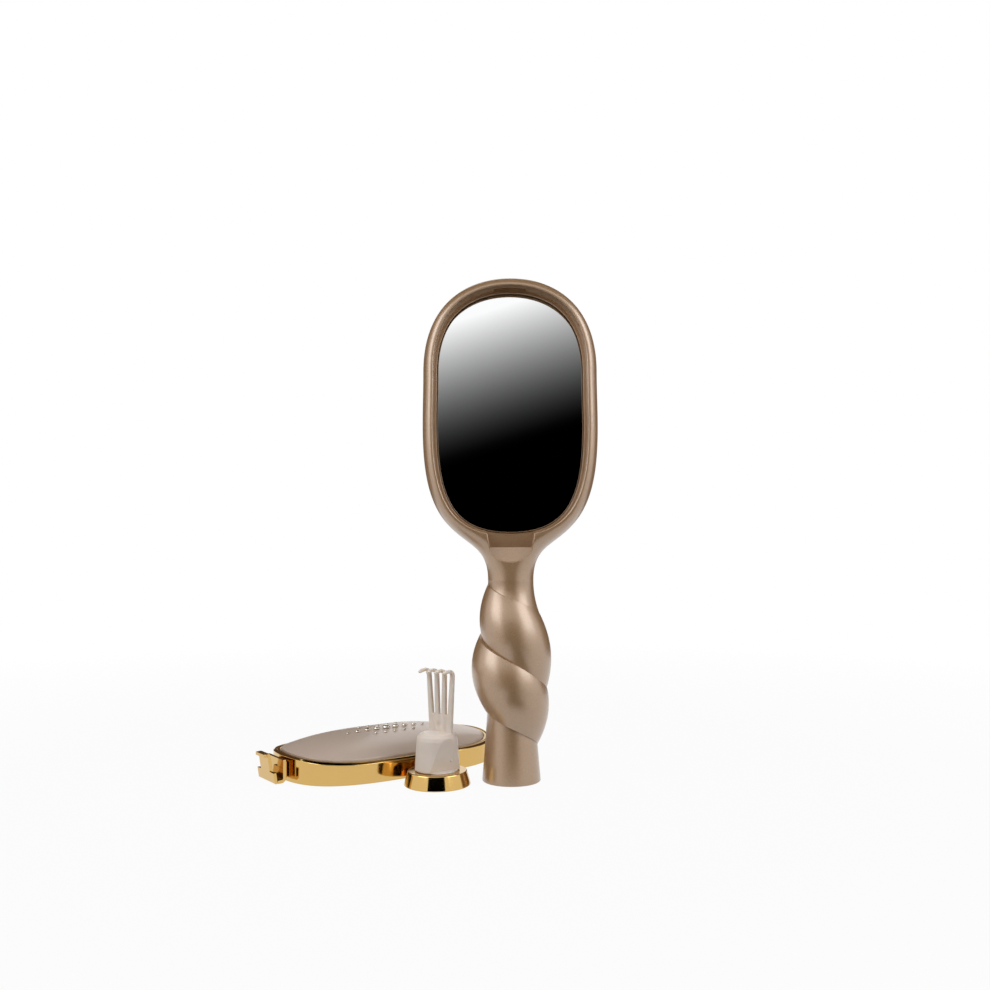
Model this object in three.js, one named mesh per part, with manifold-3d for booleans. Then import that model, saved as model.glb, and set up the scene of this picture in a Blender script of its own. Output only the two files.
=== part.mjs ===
// A styling brush with a mirror in its other face, its lift-off mirror cover and its cleaning pick.
// Millimetres, +Z up, +Y away from the mirror's viewer. The three pieces stand apart on one floor.
import * as THREE from "three";
import { mergeVertices } from "three/addons/utils/BufferGeometryUtils.js";
import Module from "manifold-3d";

const wasm = await Module();
wasm.setup();

// Clearances
const SEAT_GAP = 0.3;
const COVER_CLEARANCE = 0.6;
const BORE_CLEARANCE = 0.35;
const CUT_PAST = 3;

// Head of the handle: an egg-shaped frame
const HEAD_WIDTH = 83;
const HEAD_TOP = 239.8;
const HEAD_BOTTOM = 111.8;
const HEAD_WIDEST = 195.4;
const HEAD_TOP_FULLNESS = 0.504;
const HEAD_SHOULDER_FULLNESS = 0.725;
const HEAD_HIP_FULLNESS = 0.418;
const HEAD_BOTTOM_FULLNESS = 1.179;
const HEAD_FRONT_DEPTH = 10.4;
const HEAD_BACK_DEPTH = 8.6;
const RIM_WIDTH = 5.2;
const RIM_FRONT_FLAT = 0.5;
const RIM_BACK_ROUND = 4.5;
const RIM_FRONT_TURNS = [90, 70, 48, 25, 0];
const RIM_BACK_TURNS = [25, 50, 72, 90];
const UPPER_OUTLINE_SHARE = 0.2;

// Mirror and its recess
const RECESS_FLOOR = 3.2;
const MIRROR_FACE = 0;
const MIRROR_THICKNESS = 1.8;
const MIRROR_PAD_THICKNESS = 0.8;
const MIRROR_PAD_MARGIN = 4;
const MIRROR_SEAT_STEP = 1.3;
const MIRROR_SEAT_DEPTH = 0.9;
const MIRROR_EDGE_GAP = 0.4;

// Slot in the top of the recess for the cover's tongue
const SLOT_WIDTH = 15.6;
const SLOT_DEPTH = 3.1;
const SLOT_FRONT = -5.4;
const SLOT_BACK = -1;
const SLOT_ROOT = 4;

// Pocket for the latch, with its finger scoop
const POCKET_TOP_HALF_WIDTH = 10.9;
const POCKET_LOW_HALF_WIDTH = 9.9;
const POCKET_STEP_HEIGHT = 111.6;
const POCKET_LOWEST = 104.8;
const POCKET_FLOOR = 0.6;
const SCOOP_TOP_DEPTH = 4.6;
const SCOOP_LOW_DEPTH = 7.2;
const SCOOP_STEPS = 12;

// Throat between the head and the grip
const THROAT_RADIUS = 10.87;
const THROAT_LOW = 96;
const FLARE_TOP = 119;
const FLARE_SPREAD = 12.2;
const FLARE_POWER = 2.7;
const FLARE_SQUARENESS = 0.25;
const THROAT_FRONT_DEPTH_AT_HEAD = 10.2;
const THROAT_BACK_DEPTH_AT_HEAD = 8;

// Twisted grip: one strand winds down round the axis, its edges meeting in a crease.
// Each list runs along the crease in quarter turns: left, front, right, back, left and so on.
const CREASE_START = -4;
const CREASE_HEIGHTS = [
  95.9, 95.6, 95.2, 94.7, 94.1, 87.4, 79.2, 74.2, 69.1, 58.1, 43.2, 39.4, 36, 26.8, 17.3, 14.6, 13.2,
];
const STRAND_TOP_RADII = [10.87, 10.87, 10.87, 10.87, 10.9, 12.3, 14.1, 14.5, 15.1, 16.5, 17.4, 14.4];
const STRAND_SWELLS = [0, -0.4, -0.75, 0.8, 2.3, 3.1, 3.8, 4.2, 4.6, 4, 2.4, 1.1, 0];
const STRAND_FOOT_RADII = [10.5, 11.6, 14, 14.2, 13.9, 15.6, 16.7, 15.6, 13.5, 13, 12.6];

// Stem
const STEM_WAIST_RADIUS = 11;
const STEM_WAIST_HEIGHT = 36;
const STEM_FOOT_RADIUS = 14.05;

// Bore up the stem, beyond the room that the pick takes
const BORE_MOUTH_SPARE = 0.6;
const BORE_STEP_RISE = 1.5;
const BORE_END_SPARE = 1.6;
const BORE_END_CONE = 1;

// Brush field on the back
const BRUSH_MARGIN = 11.5;
const BRUSH_SEAT_DEPTH = 2.4;
const BRUSH_RING_WIDTH = 3;
const BRUSH_RING_PROUD = 1.4;
const BRUSH_RING_EDGE = 0.9;
const CUSHION_EDGE_PROUD = 0.9;
const CUSHION_CROWN = 3.2;
const CUSHION_BANDS = 4;
const CUSHION_BAND_GAP = 0.3;
const BRISTLE_PITCH = 3.4;
const BRISTLE_LENGTH = 14;
const BRISTLE_ROOT_RADIUS = 0.75;
const BRISTLE_TIP_RADIUS = 0.45;
const BRISTLE_ROOT_SUNK = 0.8;
const BRISTLE_MARGIN = 4.2;
const BRISTLE_EDGE_ROOM = 0.1;

// Cover: where it lies and how it is turned
const COVER_X = -64.8;
const COVER_Y = 39;
const COVER_TURN = 37.3;
const COVER_WALL = 1.6;
const COVER_BAND_HEIGHT = 9.3;
const COVER_END_RISE = 2.2;
const COVER_END_RISE_POWER = 6;
const COVER_CHAMFER = 1;
const BEZEL_WIDTH = 1.8;
const BEZEL_PROUD = 0;
const BEZEL_FOOT = 1.9;
const BEZEL_FOOT_THICKNESS = 0.9;
const BEZEL_EDGE = 0.55;
const PANEL_THICKNESS = 1.5;
const PANEL_CROWN = 6.8;
const PANEL_EDGE_ABOVE_BAND = 1.8;
const TONGUE_WIDTH = 14.8;
const TONGUE_LENGTH = 2.6;
const TONGUE_LOW = 1.4;
const TONGUE_THICKNESS = 3.2;

// Stones on the panel: a graduated row along it and a short row on each side
const ROW_STONES = 9;
const ROW_SPACING = 5.6;
const LARGEST_STONE = 2.1;
const SMALLEST_STONE = 0.9;
const SIDE_STONES = 5;
const SIDE_ROW_OFFSET = 9;
const SIDE_STONE = 0.9;
const STONE_SIDES = 8;
const STONE_GIRDLE_HEIGHT = 0.3;
const STONE_HEIGHT = 0.75;
const STONE_FOOT_SHARE = 0.8;
const STONE_TABLE_SHARE = 0.62;

// Latch at the cover's near end
const LATCH_SHEET = 1.5;
const LATCH_STANDOFF = 2;
const LATCH_REACH = 7.8;
const LATCH_LEAN = 1.9;
const LATCH_WIDTH = 18.8;
const LATCH_NECK_WIDTH = 10.5;
const LATCH_SHOULDER_HEIGHT = 5.5;
const LATCH_LEG_TOP = 11.2;
const LATCH_TOP = 14;
const LATCH_NECK_LAP = 1;
const FLANGE_WIDTH = 9.6;
const FLANGE_REACH = 1.5;
const SPACER_WIDTH = 13;
const SPACER_LOW = 2;
const SPACER_TOP = 9.6;

// Cleaning pick
const PICK_X = -35.1;
const PICK_Y = -7.4;
const PICK_TURN = -128;
const FOOT_RADIUS = 15.75;
const FOOT_TOP_RADIUS = 14.1;
const FOOT_HEIGHT = 6.8;
const FOOT_FLOOR = 1.6;
const FOOT_EDGE = 0.5;
const SPIGOT_RADIUS = 9.6;
const PLUG_RADIUS = 10.6;
const PLUG_TOP_RADIUS = 9.7;
const PLUG_HEIGHT = 17.6;
const PLUG_ROUND = 3.4;
const FACET_TURN = 75;
const FACET_LOW_DISTANCE = 6.6;
const FACET_HIGH_DISTANCE = 10.2;
const DETENT_RADIUS = 0.8;
const DETENT_HEIGHT = 4.9;
const DETENT_SIDE = 2.9;
const DETENT_PROUD = 0.35;
const WEB_THICKNESS = 1.5;
const NECK_TOP = 33.6;
const NECK_BACK_OFFSET = 2.7;
const NECK_ROOT = 3;
const TINE_COUNT = 4;
const TINE_LOW_WIDTH = 2.8;
const TINE_TOP_WIDTH = 2.1;
const TINE_THICKNESS = 2.1;
const TINE_LOW_SPACING = 3.5;
const TINE_TOP_SPACING = 5;
const PICK_HEIGHT = 54.4;
const HOOK_REACH = 7;
const HOOK_DROP = 1.6;
const HOOK_BEND = 2.4;
const HOOK_NOSE_BEND = 1.44;
const HOOK_NOSE = 1;
const HOOK_THICKNESS = 1.4;
const HOOK_INNER_BEND = 1.3;
const HOOK_NOSE_ROOT = 1.6;
const DIMPLE_RADIUS = 1.6;
const DIMPLE_DEPTH_SHARE = 0.4;
const DIMPLE_TALL_SHARE = 1.3;
const DIMPLE_DROP = 1;

// How finely round shapes are cut
const OUTLINE_POINTS = 72;
const SMALL_OUTLINE_POINTS = 48;
const AROUND = 36;
const LATHE_SIDES = 40;

// Colours
const finishes = {
  champagne: { color: 0xb2967c, metalness: 0.55, roughness: 0.42 },
  mirror: { color: 0xe8ecee, metalness: 1, roughness: 0.03 },
  pad: { color: 0xd8d6d0, metalness: 0, roughness: 0.9 },
  rubber: { color: 0x2c2724, metalness: 0, roughness: 0.7 },
  gold: { color: 0xd9ad60, metalness: 1, roughness: 0.12 },
  pearl: { color: 0xb4a396, metalness: 0.35, roughness: 0.3 },
  stone: { color: 0xf2ead8, metalness: 0.1, roughness: 0.05 },
  nylon: { color: 0xcdbcac, metalness: 0, roughness: 0.45 },
};

function material(finish) {
  return new THREE.MeshStandardMaterial(finishes[finish]);
}

// Solids: closed geometry in, closed geometry out

function bare(geometry) {
  const copy = geometry.clone();
  copy.deleteAttribute("normal");
  copy.deleteAttribute("uv");
  return mergeVertices(copy, 1e-4);
}

function solid(geometry) {
  const merged = bare(geometry);
  return new wasm.Manifold(
    new wasm.Mesh({
      numProp: 3,
      vertProperties: merged.attributes.position.array,
      triVerts: new Uint32Array(merged.index.array),
    }),
  );
}

function geometryOf(made) {
  const mesh = made.getMesh();
  const geometry = new THREE.BufferGeometry();
  geometry.setAttribute("position", new THREE.BufferAttribute(mesh.vertProperties, 3));
  geometry.setIndex(new THREE.BufferAttribute(mesh.triVerts, 1));
  geometry.computeVertexNormals();
  return geometry;
}

// A geometry from points and triangles, turned right side out
function closedGeometry(points, triangles) {
  const at = (i) => points[i];
  let volume = 0;
  for (const [a, b, c] of triangles) {
    volume += at(a).dot(new THREE.Vector3().crossVectors(at(b), at(c)));
  }
  const faces = volume > 0 ? triangles : triangles.map(([a, b, c]) => [a, c, b]);
  const geometry = new THREE.BufferGeometry();
  geometry.setFromPoints(points);
  geometry.setIndex(faces.flat());
  geometry.computeVertexNormals();
  return geometry;
}

// A solid skinned over a stack of rings of equally many points, its ends closed to their middles
function loft(rings) {
  const count = rings[0].length;
  const points = rings.flat();
  const triangles = [];
  for (let r = 0; r + 1 < rings.length; r++) {
    for (let i = 0; i < count; i++) {
      const next = (i + 1) % count;
      const [a, b] = [r * count + i, r * count + next];
      const [c, d] = [a + count, b + count];
      triangles.push([a, b, c], [b, d, c]);
    }
  }
  for (const [ring, first] of [[rings[0], 0], [rings[rings.length - 1], (rings.length - 1) * count]]) {
    const middle = points.length;
    points.push(ring.reduce((sum, p) => sum.add(p), new THREE.Vector3()).divideScalar(count));
    for (let i = 0; i < count; i++) {
      const [a, b] = [first + i, first + ((i + 1) % count)];
      triangles.push(first === 0 ? [b, a, middle] : [a, b, middle]);
    }
  }
  return closedGeometry(points, triangles);
}

// A closed band: one closed section carried once round an outline
function band(sections) {
  const size = sections[0].length;
  const points = sections.flat();
  const triangles = [];
  for (let s = 0; s < sections.length; s++) {
    const after = (s + 1) % sections.length;
    for (let i = 0; i < size; i++) {
      const next = (i + 1) % size;
      const [a, b] = [s * size + i, s * size + next];
      const [c, d] = [after * size + i, after * size + next];
      triangles.push([a, b, c], [b, d, c]);
    }
  }
  return closedGeometry(points, triangles);
}

// A turned solid about +Z from [radius, height] pairs
function turned(profile, sides = LATHE_SIDES) {
  const geometry = new THREE.LatheGeometry(profile.map(([r, z]) => new THREE.Vector2(r, z)), sides);
  geometry.rotateX(Math.PI / 2);
  const merged = bare(geometry);
  const points = [];
  for (let i = 0; i < merged.attributes.position.count; i++) {
    points.push(new THREE.Vector3().fromBufferAttribute(merged.attributes.position, i));
  }
  const triangles = [];
  for (let i = 0; i < merged.index.count; i += 3) {
    const [a, b, c] = [merged.index.getX(i), merged.index.getX(i + 1), merged.index.getX(i + 2)];
    if (a !== b && b !== c && a !== c) triangles.push([a, b, c]);
  }
  return closedGeometry(points, triangles);
}

function block(x0, x1, y0, y1, z0, z1) {
  const geometry = new THREE.BoxGeometry(x1 - x0, y1 - y0, z1 - z0);
  geometry.translate((x0 + x1) / 2, (y0 + y1) / 2, (z0 + z1) / 2);
  return geometry;
}

// A plate whose outline is drawn in x and z, and which reaches from y = front to y = back
function plate(outline, front, back) {
  const geometry = new THREE.ExtrudeGeometry(new THREE.Shape(outline), {
    depth: back - front,
    bevelEnabled: false,
    curveSegments: 10,
  });
  geometry.rotateX(Math.PI / 2);
  geometry.translate(0, back, 0);
  return geometry;
}

// The head's outline, drawn in from its edge by an inset, as [x, z] points counted round from the top
function headOutline(inset, count = OUTLINE_POINTS) {
  const half = HEAD_WIDTH / 2;
  const rise = HEAD_TOP - HEAD_WIDEST;
  const fall = HEAD_WIDEST - HEAD_BOTTOM;
  const upper = new THREE.CubicBezierCurve(
    new THREE.Vector2(0, HEAD_TOP),
    new THREE.Vector2(HEAD_TOP_FULLNESS * half, HEAD_TOP),
    new THREE.Vector2(half, HEAD_WIDEST + HEAD_SHOULDER_FULLNESS * rise),
    new THREE.Vector2(half, HEAD_WIDEST),
  );
  const lower = new THREE.CubicBezierCurve(
    new THREE.Vector2(half, HEAD_WIDEST),
    new THREE.Vector2(half, HEAD_WIDEST - HEAD_HIP_FULLNESS * fall),
    new THREE.Vector2(HEAD_BOTTOM_FULLNESS * half, HEAD_BOTTOM),
    new THREE.Vector2(0, HEAD_BOTTOM),
  );
  const upperSteps = Math.round(count * UPPER_OUTLINE_SHARE);
  const lowerSteps = count / 2 - upperSteps;
  const right = [];
  for (const [curve, steps] of [[upper, upperSteps], [lower, lowerSteps]]) {
    for (let i = 0; i < steps; i++) {
      const p = curve.getPointAt(i / steps);
      const along = curve.getTangentAt(i / steps);
      right.push(new THREE.Vector2(p.x + along.y * inset, p.y - along.x * inset));
    }
  }
  right[0].x = 0;
  right.push(new THREE.Vector2(0, HEAD_BOTTOM + inset));
  const left = right.slice(1, -1).reverse().map((p) => new THREE.Vector2(-p.x, p.y));
  return [...right, ...left];
}

function headRing(inset, y, count) {
  return headOutline(inset, count).map((p) => new THREE.Vector3(p.x, y, p.y));
}

// Head: a disc with a rounded rim in front and behind
function headShell() {
  const rings = [];
  for (const turn of RIM_FRONT_TURNS) {
    const angle = THREE.MathUtils.degToRad(turn);
    const inset = (RIM_WIDTH - RIM_FRONT_FLAT) * (1 - Math.cos(angle));
    rings.push(headRing(inset, -HEAD_FRONT_DEPTH * Math.sin(angle)));
  }
  for (const turn of RIM_BACK_TURNS) {
    const angle = THREE.MathUtils.degToRad(turn);
    rings.push(headRing(RIM_BACK_ROUND * (1 - Math.cos(angle)), HEAD_BACK_DEPTH * Math.sin(angle)));
  }
  return loft(rings);
}

// A value read from a list at a fractional place, smoothly
function along(list, place) {
  const last = list.length - 1;
  const i = Math.min(Math.max(Math.floor(place), 0), last - 1);
  const t = Math.min(Math.max(place - i, 0), 1);
  const [p0, p1, p2, p3] = [-1, 0, 1, 2].map((k) => list[Math.min(Math.max(i + k, 0), last)]);
  const [m1, m2] = [(p2 - p0) / 2, (p3 - p1) / 2];
  const [t2, t3] = [t * t, t * t * t];
  return (2 * t3 - 3 * t2 + 1) * p1 + (t3 - 2 * t2 + t) * m1 + (3 * t2 - 2 * t3) * p2 + (t3 - t2) * m2;
}

const creaseHeight = (s) => along(CREASE_HEIGHTS, s - CREASE_START);
const stemRadius = (z) =>
  STEM_FOOT_RADIUS - ((STEM_FOOT_RADIUS - STEM_WAIST_RADIUS) * z) / STEM_WAIST_HEIGHT;

function strandTopRadius(s) {
  const place = s - CREASE_START;
  const last = STRAND_TOP_RADII.length - 1;
  if (place <= last) return along(STRAND_TOP_RADII, place);
  const under = stemRadius(creaseHeight(s));
  if (place >= last + 1) return under;
  return THREE.MathUtils.lerp(STRAND_TOP_RADII[last], under, place - last);
}

function strandFootRadius(s) {
  const last = STRAND_FOOT_RADII.length - 1;
  if (s <= last) return along(STRAND_FOOT_RADII, s);
  const under = stemRadius(creaseHeight(s));
  return THREE.MathUtils.lerp(STRAND_FOOT_RADII[last], under, Math.min((s - last) / 2, 1));
}

// The strand's surface from the crease at s down to the crease one turn later
function strandPoints(s, steps) {
  const [top, foot] = [creaseHeight(s), creaseHeight(s + 4)];
  const swell = along(STRAND_SWELLS, s - CREASE_START);
  return steps.map((t) => ({
    z: THREE.MathUtils.lerp(top, foot, t),
    r: THREE.MathUtils.lerp(strandTopRadius(s), strandFootRadius(s + 4), t) + swell * 4 * t * (1 - t),
  }));
}

const WHOLE_STEPS = [0, 0.1, 0.28, 0.5, 0.72, 0.9, 1];
const FIRST_STEPS = [0, 0.25, 0.5, 0.75, 1];
const FLARE_STEPS = [1, 0.86, 0.72, 0.58, 0.44, 0.28, 0.12, 0];
const STEM_STEPS = [0.3, 0.65, 1];

// Throat, grip and stem as one skin of upright columns, stitched where the strand's turns meet
function gripAndStem() {
  const points = [];
  const columns = [];
  for (let j = 0; j < AROUND; j++) {
    const angle = (2 * Math.PI * j) / AROUND;
    const s = (4 * j) / AROUND;
    const [cos, sin] = [Math.cos(angle), Math.sin(angle)];
    const column = [];
    const marks = [0];
    const add = (x, y, z) => {
      column.push(points.length);
      points.push(new THREE.Vector3(x, y, z));
    };
    for (const t of FLARE_STEPS) {
      const power = 1 / (1 + FLARE_SQUARENESS * t);
      const wide = THROAT_RADIUS + FLARE_SPREAD * t ** FLARE_POWER;
      const depthAtHead = sin > 0 ? THROAT_FRONT_DEPTH_AT_HEAD : THROAT_BACK_DEPTH_AT_HEAD;
      const deep = THREE.MathUtils.lerp(THROAT_RADIUS, depthAtHead, t);
      add(
        -wide * Math.sign(cos) * Math.abs(cos) ** power,
        -deep * Math.sign(sin) * Math.abs(sin) ** power,
        THREE.MathUtils.lerp(THROAT_LOW, FLARE_TOP, t),
      );
    }
    marks.push(column.length - 1);
    for (const [from, steps] of [[s - 4, FIRST_STEPS], [s, WHOLE_STEPS], [s + 4, WHOLE_STEPS]]) {
      for (const { z, r } of strandPoints(from, steps)) add(-r * cos, -r * sin, z);
      marks.push(column.length - 1);
    }
    const under = creaseHeight(s + 8);
    add(-stemRadius(under) * cos, -stemRadius(under) * sin, under);
    for (const t of STEM_STEPS) {
      const z = under * (1 - t);
      add(-stemRadius(z) * cos, -stemRadius(z) * sin, z);
    }
    marks.push(column.length - 1);
    columns.push({ column, marks });
  }

  const triangles = [];
  const stitch = (a, b) => {
    const depth = (list, i) => {
      const [top, low] = [points[list[0]].z, points[list[list.length - 1]].z];
      return (top - points[list[i]].z) / Math.max(top - low, 1e-6);
    };
    let [i, j] = [0, 0];
    while (i < a.length - 1 || j < b.length - 1) {
      const ahead = i < a.length - 1 && depth(a, i + 1) <= depth(b, j + 1) + 1e-9;
      const stepA = j === b.length - 1 || ahead;
      triangles.push(stepA ? [a[i], a[i + 1], b[j]] : [a[i], b[j + 1], b[j]]);
      if (stepA) i++;
      else j++;
    }
  };
  const run = ({ column, marks }, from, to) => column.slice(marks[from], marks[to] + 1);
  for (let j = 0; j + 1 < AROUND; j++) {
    for (let k = 0; k < 5; k++) stitch(run(columns[j], k, k + 1), run(columns[j + 1], k, k + 1));
  }
  // The strand passes on to its next turn where the last column meets the first
  const [last, first] = [columns[AROUND - 1], columns[0]];
  stitch(run(last, 0, 1), run(first, 0, 2));
  stitch(run(last, 1, 2), run(first, 2, 3));
  stitch(run(last, 2, 3), run(first, 3, 4));
  stitch(run(last, 3, 5), run(first, 4, 5));

  for (const [mark, flip] of [[0, true], [5, false]]) {
    const ring = columns.map(({ column, marks }) => column[marks[mark]]);
    const middle = points.length;
    points.push(new THREE.Vector3(0, 0, points[ring[0]].z));
    for (let j = 0; j < AROUND; j++) {
      const [a, b] = [ring[j], ring[(j + 1) % AROUND]];
      triangles.push(flip ? [a, b, middle] : [b, a, middle]);
    }
  }
  return closedGeometry(points, triangles);
}

// Recess for the mirror and the cover, with a shallow step round the glass
function recessCut() {
  const open = plate(headOutline(RIM_WIDTH), -HEAD_FRONT_DEPTH - CUT_PAST, -MIRROR_SEAT_DEPTH);
  const seatOutline = headOutline(RIM_WIDTH + MIRROR_SEAT_STEP);
  const seat = plate(seatOutline, -MIRROR_SEAT_DEPTH - CUT_PAST, RECESS_FLOOR);
  return solid(open).add(solid(seat));
}

function slotCut() {
  const top = HEAD_TOP - RIM_WIDTH;
  const half = SLOT_WIDTH / 2;
  return solid(block(-half, half, SLOT_FRONT, SLOT_BACK, top - SLOT_ROOT, top + SLOT_DEPTH));
}

// Pocket for the latch: a deep upper part that opens into the recess, and the half-moon scoop below it
function pocketCut() {
  const mouth = HEAD_BOTTOM + RIM_WIDTH + CUT_PAST;
  const deep = new THREE.Shape();
  deep.moveTo(-POCKET_TOP_HALF_WIDTH, mouth);
  deep.lineTo(-POCKET_LOW_HALF_WIDTH, POCKET_STEP_HEIGHT);
  deep.lineTo(POCKET_LOW_HALF_WIDTH, POCKET_STEP_HEIGHT);
  deep.lineTo(POCKET_TOP_HALF_WIDTH, mouth);
  const scoop = [];
  const drop = POCKET_STEP_HEIGHT - POCKET_LOWEST;
  for (let i = 0; i <= SCOOP_STEPS; i++) {
    const angle = Math.PI + (Math.PI * i) / SCOOP_STEPS;
    scoop.push(new THREE.Vector2(
      POCKET_LOW_HALF_WIDTH * Math.cos(angle),
      POCKET_STEP_HEIGHT + drop * Math.sin(angle),
    ));
  }
  const scoopTop = POCKET_STEP_HEIGHT + CUT_PAST;
  scoop.push(new THREE.Vector2(POCKET_LOW_HALF_WIDTH, scoopTop));
  scoop.push(new THREE.Vector2(-POCKET_LOW_HALF_WIDTH, scoopTop));
  const front = -HEAD_FRONT_DEPTH - CUT_PAST;
  const rings = [front, 0].map((y) => scoop.map((p) => {
    const depth = THREE.MathUtils.mapLinear(
      p.y, POCKET_STEP_HEIGHT, POCKET_LOWEST, -SCOOP_TOP_DEPTH, -SCOOP_LOW_DEPTH,
    );
    return new THREE.Vector3(p.x, y === front ? front : depth, p.y);
  }));
  return solid(plate(deep.getPoints(), front, POCKET_FLOOR)).add(solid(loft(rings)));
}

// Bore up the stem: a wide mouth for the plug and a narrower length for the tines
function boreCut() {
  const mouth = PLUG_RADIUS + BORE_CLEARANCE;
  const inner = pickReach() + BORE_CLEARANCE;
  const step = PLUG_HEIGHT + BORE_MOUTH_SPARE;
  const end = PICK_HEIGHT - FOOT_HEIGHT + BORE_END_SPARE;
  return solid(turned([
    [0, -CUT_PAST],
    [mouth, -CUT_PAST],
    [mouth, step],
    [inner, step + BORE_STEP_RISE],
    [inner, end - BORE_END_CONE],
    [0, end],
  ]));
}

// How far the tines reach from the pick's axis
function pickReach() {
  const alongRow = ((TINE_COUNT - 1) * TINE_TOP_SPACING + TINE_TOP_WIDTH) / 2;
  const across = Math.max(NECK_BACK_OFFSET + TINE_THICKNESS / 2, HOOK_REACH - NECK_BACK_OFFSET);
  return Math.hypot(alongRow, across);
}

function brushSeatCut() {
  const outline = headOutline(BRUSH_MARGIN, SMALL_OUTLINE_POINTS);
  return solid(plate(outline, HEAD_BACK_DEPTH - BRUSH_SEAT_DEPTH, HEAD_BACK_DEPTH + CUT_PAST));
}

function handleMoulding() {
  return solid(headShell())
    .add(solid(gripAndStem()))
    .subtract(recessCut())
    .subtract(slotCut())
    .subtract(pocketCut())
    .subtract(boreCut())
    .subtract(brushSeatCut());
}

function mirrorInset() {
  return RIM_WIDTH + MIRROR_SEAT_STEP + MIRROR_EDGE_GAP;
}

function mirrorGlass() {
  return plate(headOutline(mirrorInset()), MIRROR_FACE, MIRROR_FACE + MIRROR_THICKNESS);
}

function mirrorPad() {
  const front = MIRROR_FACE + MIRROR_THICKNESS + SEAT_GAP;
  const outline = headOutline(mirrorInset() + MIRROR_PAD_MARGIN, SMALL_OUTLINE_POINTS);
  return plate(outline, front, Math.min(front + MIRROR_PAD_THICKNESS, RECESS_FLOOR - SEAT_GAP));
}

// Ring that holds the cushion in the head's back
function brushRing() {
  const floor = HEAD_BACK_DEPTH - BRUSH_SEAT_DEPTH + SEAT_GAP;
  const proud = HEAD_BACK_DEPTH + BRUSH_RING_PROUD;
  const outer = BRUSH_MARGIN + SEAT_GAP;
  const inner = outer + BRUSH_RING_WIDTH;
  const corners = [
    [outer, floor],
    [outer, proud - BRUSH_RING_EDGE],
    [outer + BRUSH_RING_EDGE, proud],
    [inner - BRUSH_RING_EDGE, proud],
    [inner, proud - BRUSH_RING_EDGE],
    [inner, floor],
  ];
  const rings = corners.map(([inset, y]) => headRing(inset, y, SMALL_OUTLINE_POINTS));
  return band(rings[0].map((unused, i) => rings.map((ring) => ring[i])));
}

// The cushion's skin: how far its surface stands at a place on the head
const cushionInset = () => BRUSH_MARGIN + 2 * SEAT_GAP + BRUSH_RING_WIDTH;
const cushionMiddle = () => (HEAD_TOP + HEAD_BOTTOM) / 2;
const CUSHION_SHARES = [1, 0.95, 0.82, 0.6, 0.3];

function cushionSurface(share) {
  const edge = HEAD_BACK_DEPTH + CUSHION_EDGE_PROUD;
  return edge + CUSHION_CROWN * (1 - share ** 2);
}

function wholeCushion() {
  const edge = headOutline(cushionInset(), SMALL_OUTLINE_POINTS);
  const middle = cushionMiddle();
  const ring = (share, y) =>
    edge.map((p) => new THREE.Vector3(p.x * share, y, middle + (p.y - middle) * share));
  const back = HEAD_BACK_DEPTH - BRUSH_SEAT_DEPTH + SEAT_GAP;
  const rings = [ring(1, back), ...CUSHION_SHARES.map((share) => ring(share, cushionSurface(share)))];
  return solid(loft(rings));
}

// How far out a place lies between the cushion's middle, 0, and its edge, 1
function cushionShare(x, z) {
  const edge = headOutline(cushionInset(), SMALL_OUTLINE_POINTS);
  const middle = cushionMiddle();
  let share = 0;
  for (let i = 0; i < edge.length; i++) {
    const [p, q] = [edge[i], edge[(i + 1) % edge.length]];
    const normal = new THREE.Vector2(q.y - p.y, p.x - q.x);
    const reach = normal.x * p.x + normal.y * (p.y - middle);
    const here = normal.x * x + normal.y * (z - middle);
    share = Math.max(share, here / reach);
  }
  return share;
}

function bristlePlaces() {
  const places = [];
  const edge = headOutline(cushionInset(), SMALL_OUTLINE_POINTS);
  const [low, high] = [Math.min(...edge.map((p) => p.y)), Math.max(...edge.map((p) => p.y))];
  const halfWidth = Math.max(...edge.map((p) => p.x));
  const limit = 1 - BRISTLE_MARGIN / halfWidth;
  const rise = BRISTLE_PITCH * Math.sin(Math.PI / 3);
  const rows = Math.floor((high - low) / rise);
  for (let row = 0; row <= rows; row++) {
    const z = cushionMiddle() + (row - rows / 2) * rise;
    const shift = row % 2 ? 0.5 : 0;
    const across = Math.ceil(halfWidth / BRISTLE_PITCH);
    for (let k = -across; k <= across; k++) {
      const x = (k + shift) * BRISTLE_PITCH;
      const share = cushionShare(x, z);
      if (share < limit) places.push({ x, z, share });
    }
  }
  return places;
}

// A three-sided bristle, thinner towards its tip
function bristle({ x, z, share }) {
  const root = cushionSurface(share) - BRISTLE_ROOT_SUNK;
  const points = [];
  for (const [radius, y] of [[BRISTLE_ROOT_RADIUS, root], [BRISTLE_TIP_RADIUS, root + BRISTLE_LENGTH]]) {
    for (const turn of [0, 1, 2]) {
      const angle = (2 * Math.PI * turn) / 3;
      points.push(new THREE.Vector3(x + radius * Math.sin(angle), y, z + radius * Math.cos(angle)));
    }
  }
  const sides = [0, 1, 2].flatMap((i) => {
    const next = (i + 1) % 3;
    return [[i, next, i + 3], [next, next + 3, i + 3]];
  });
  return solid(closedGeometry(points, [[0, 2, 1], [3, 4, 5], ...sides]));
}

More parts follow.
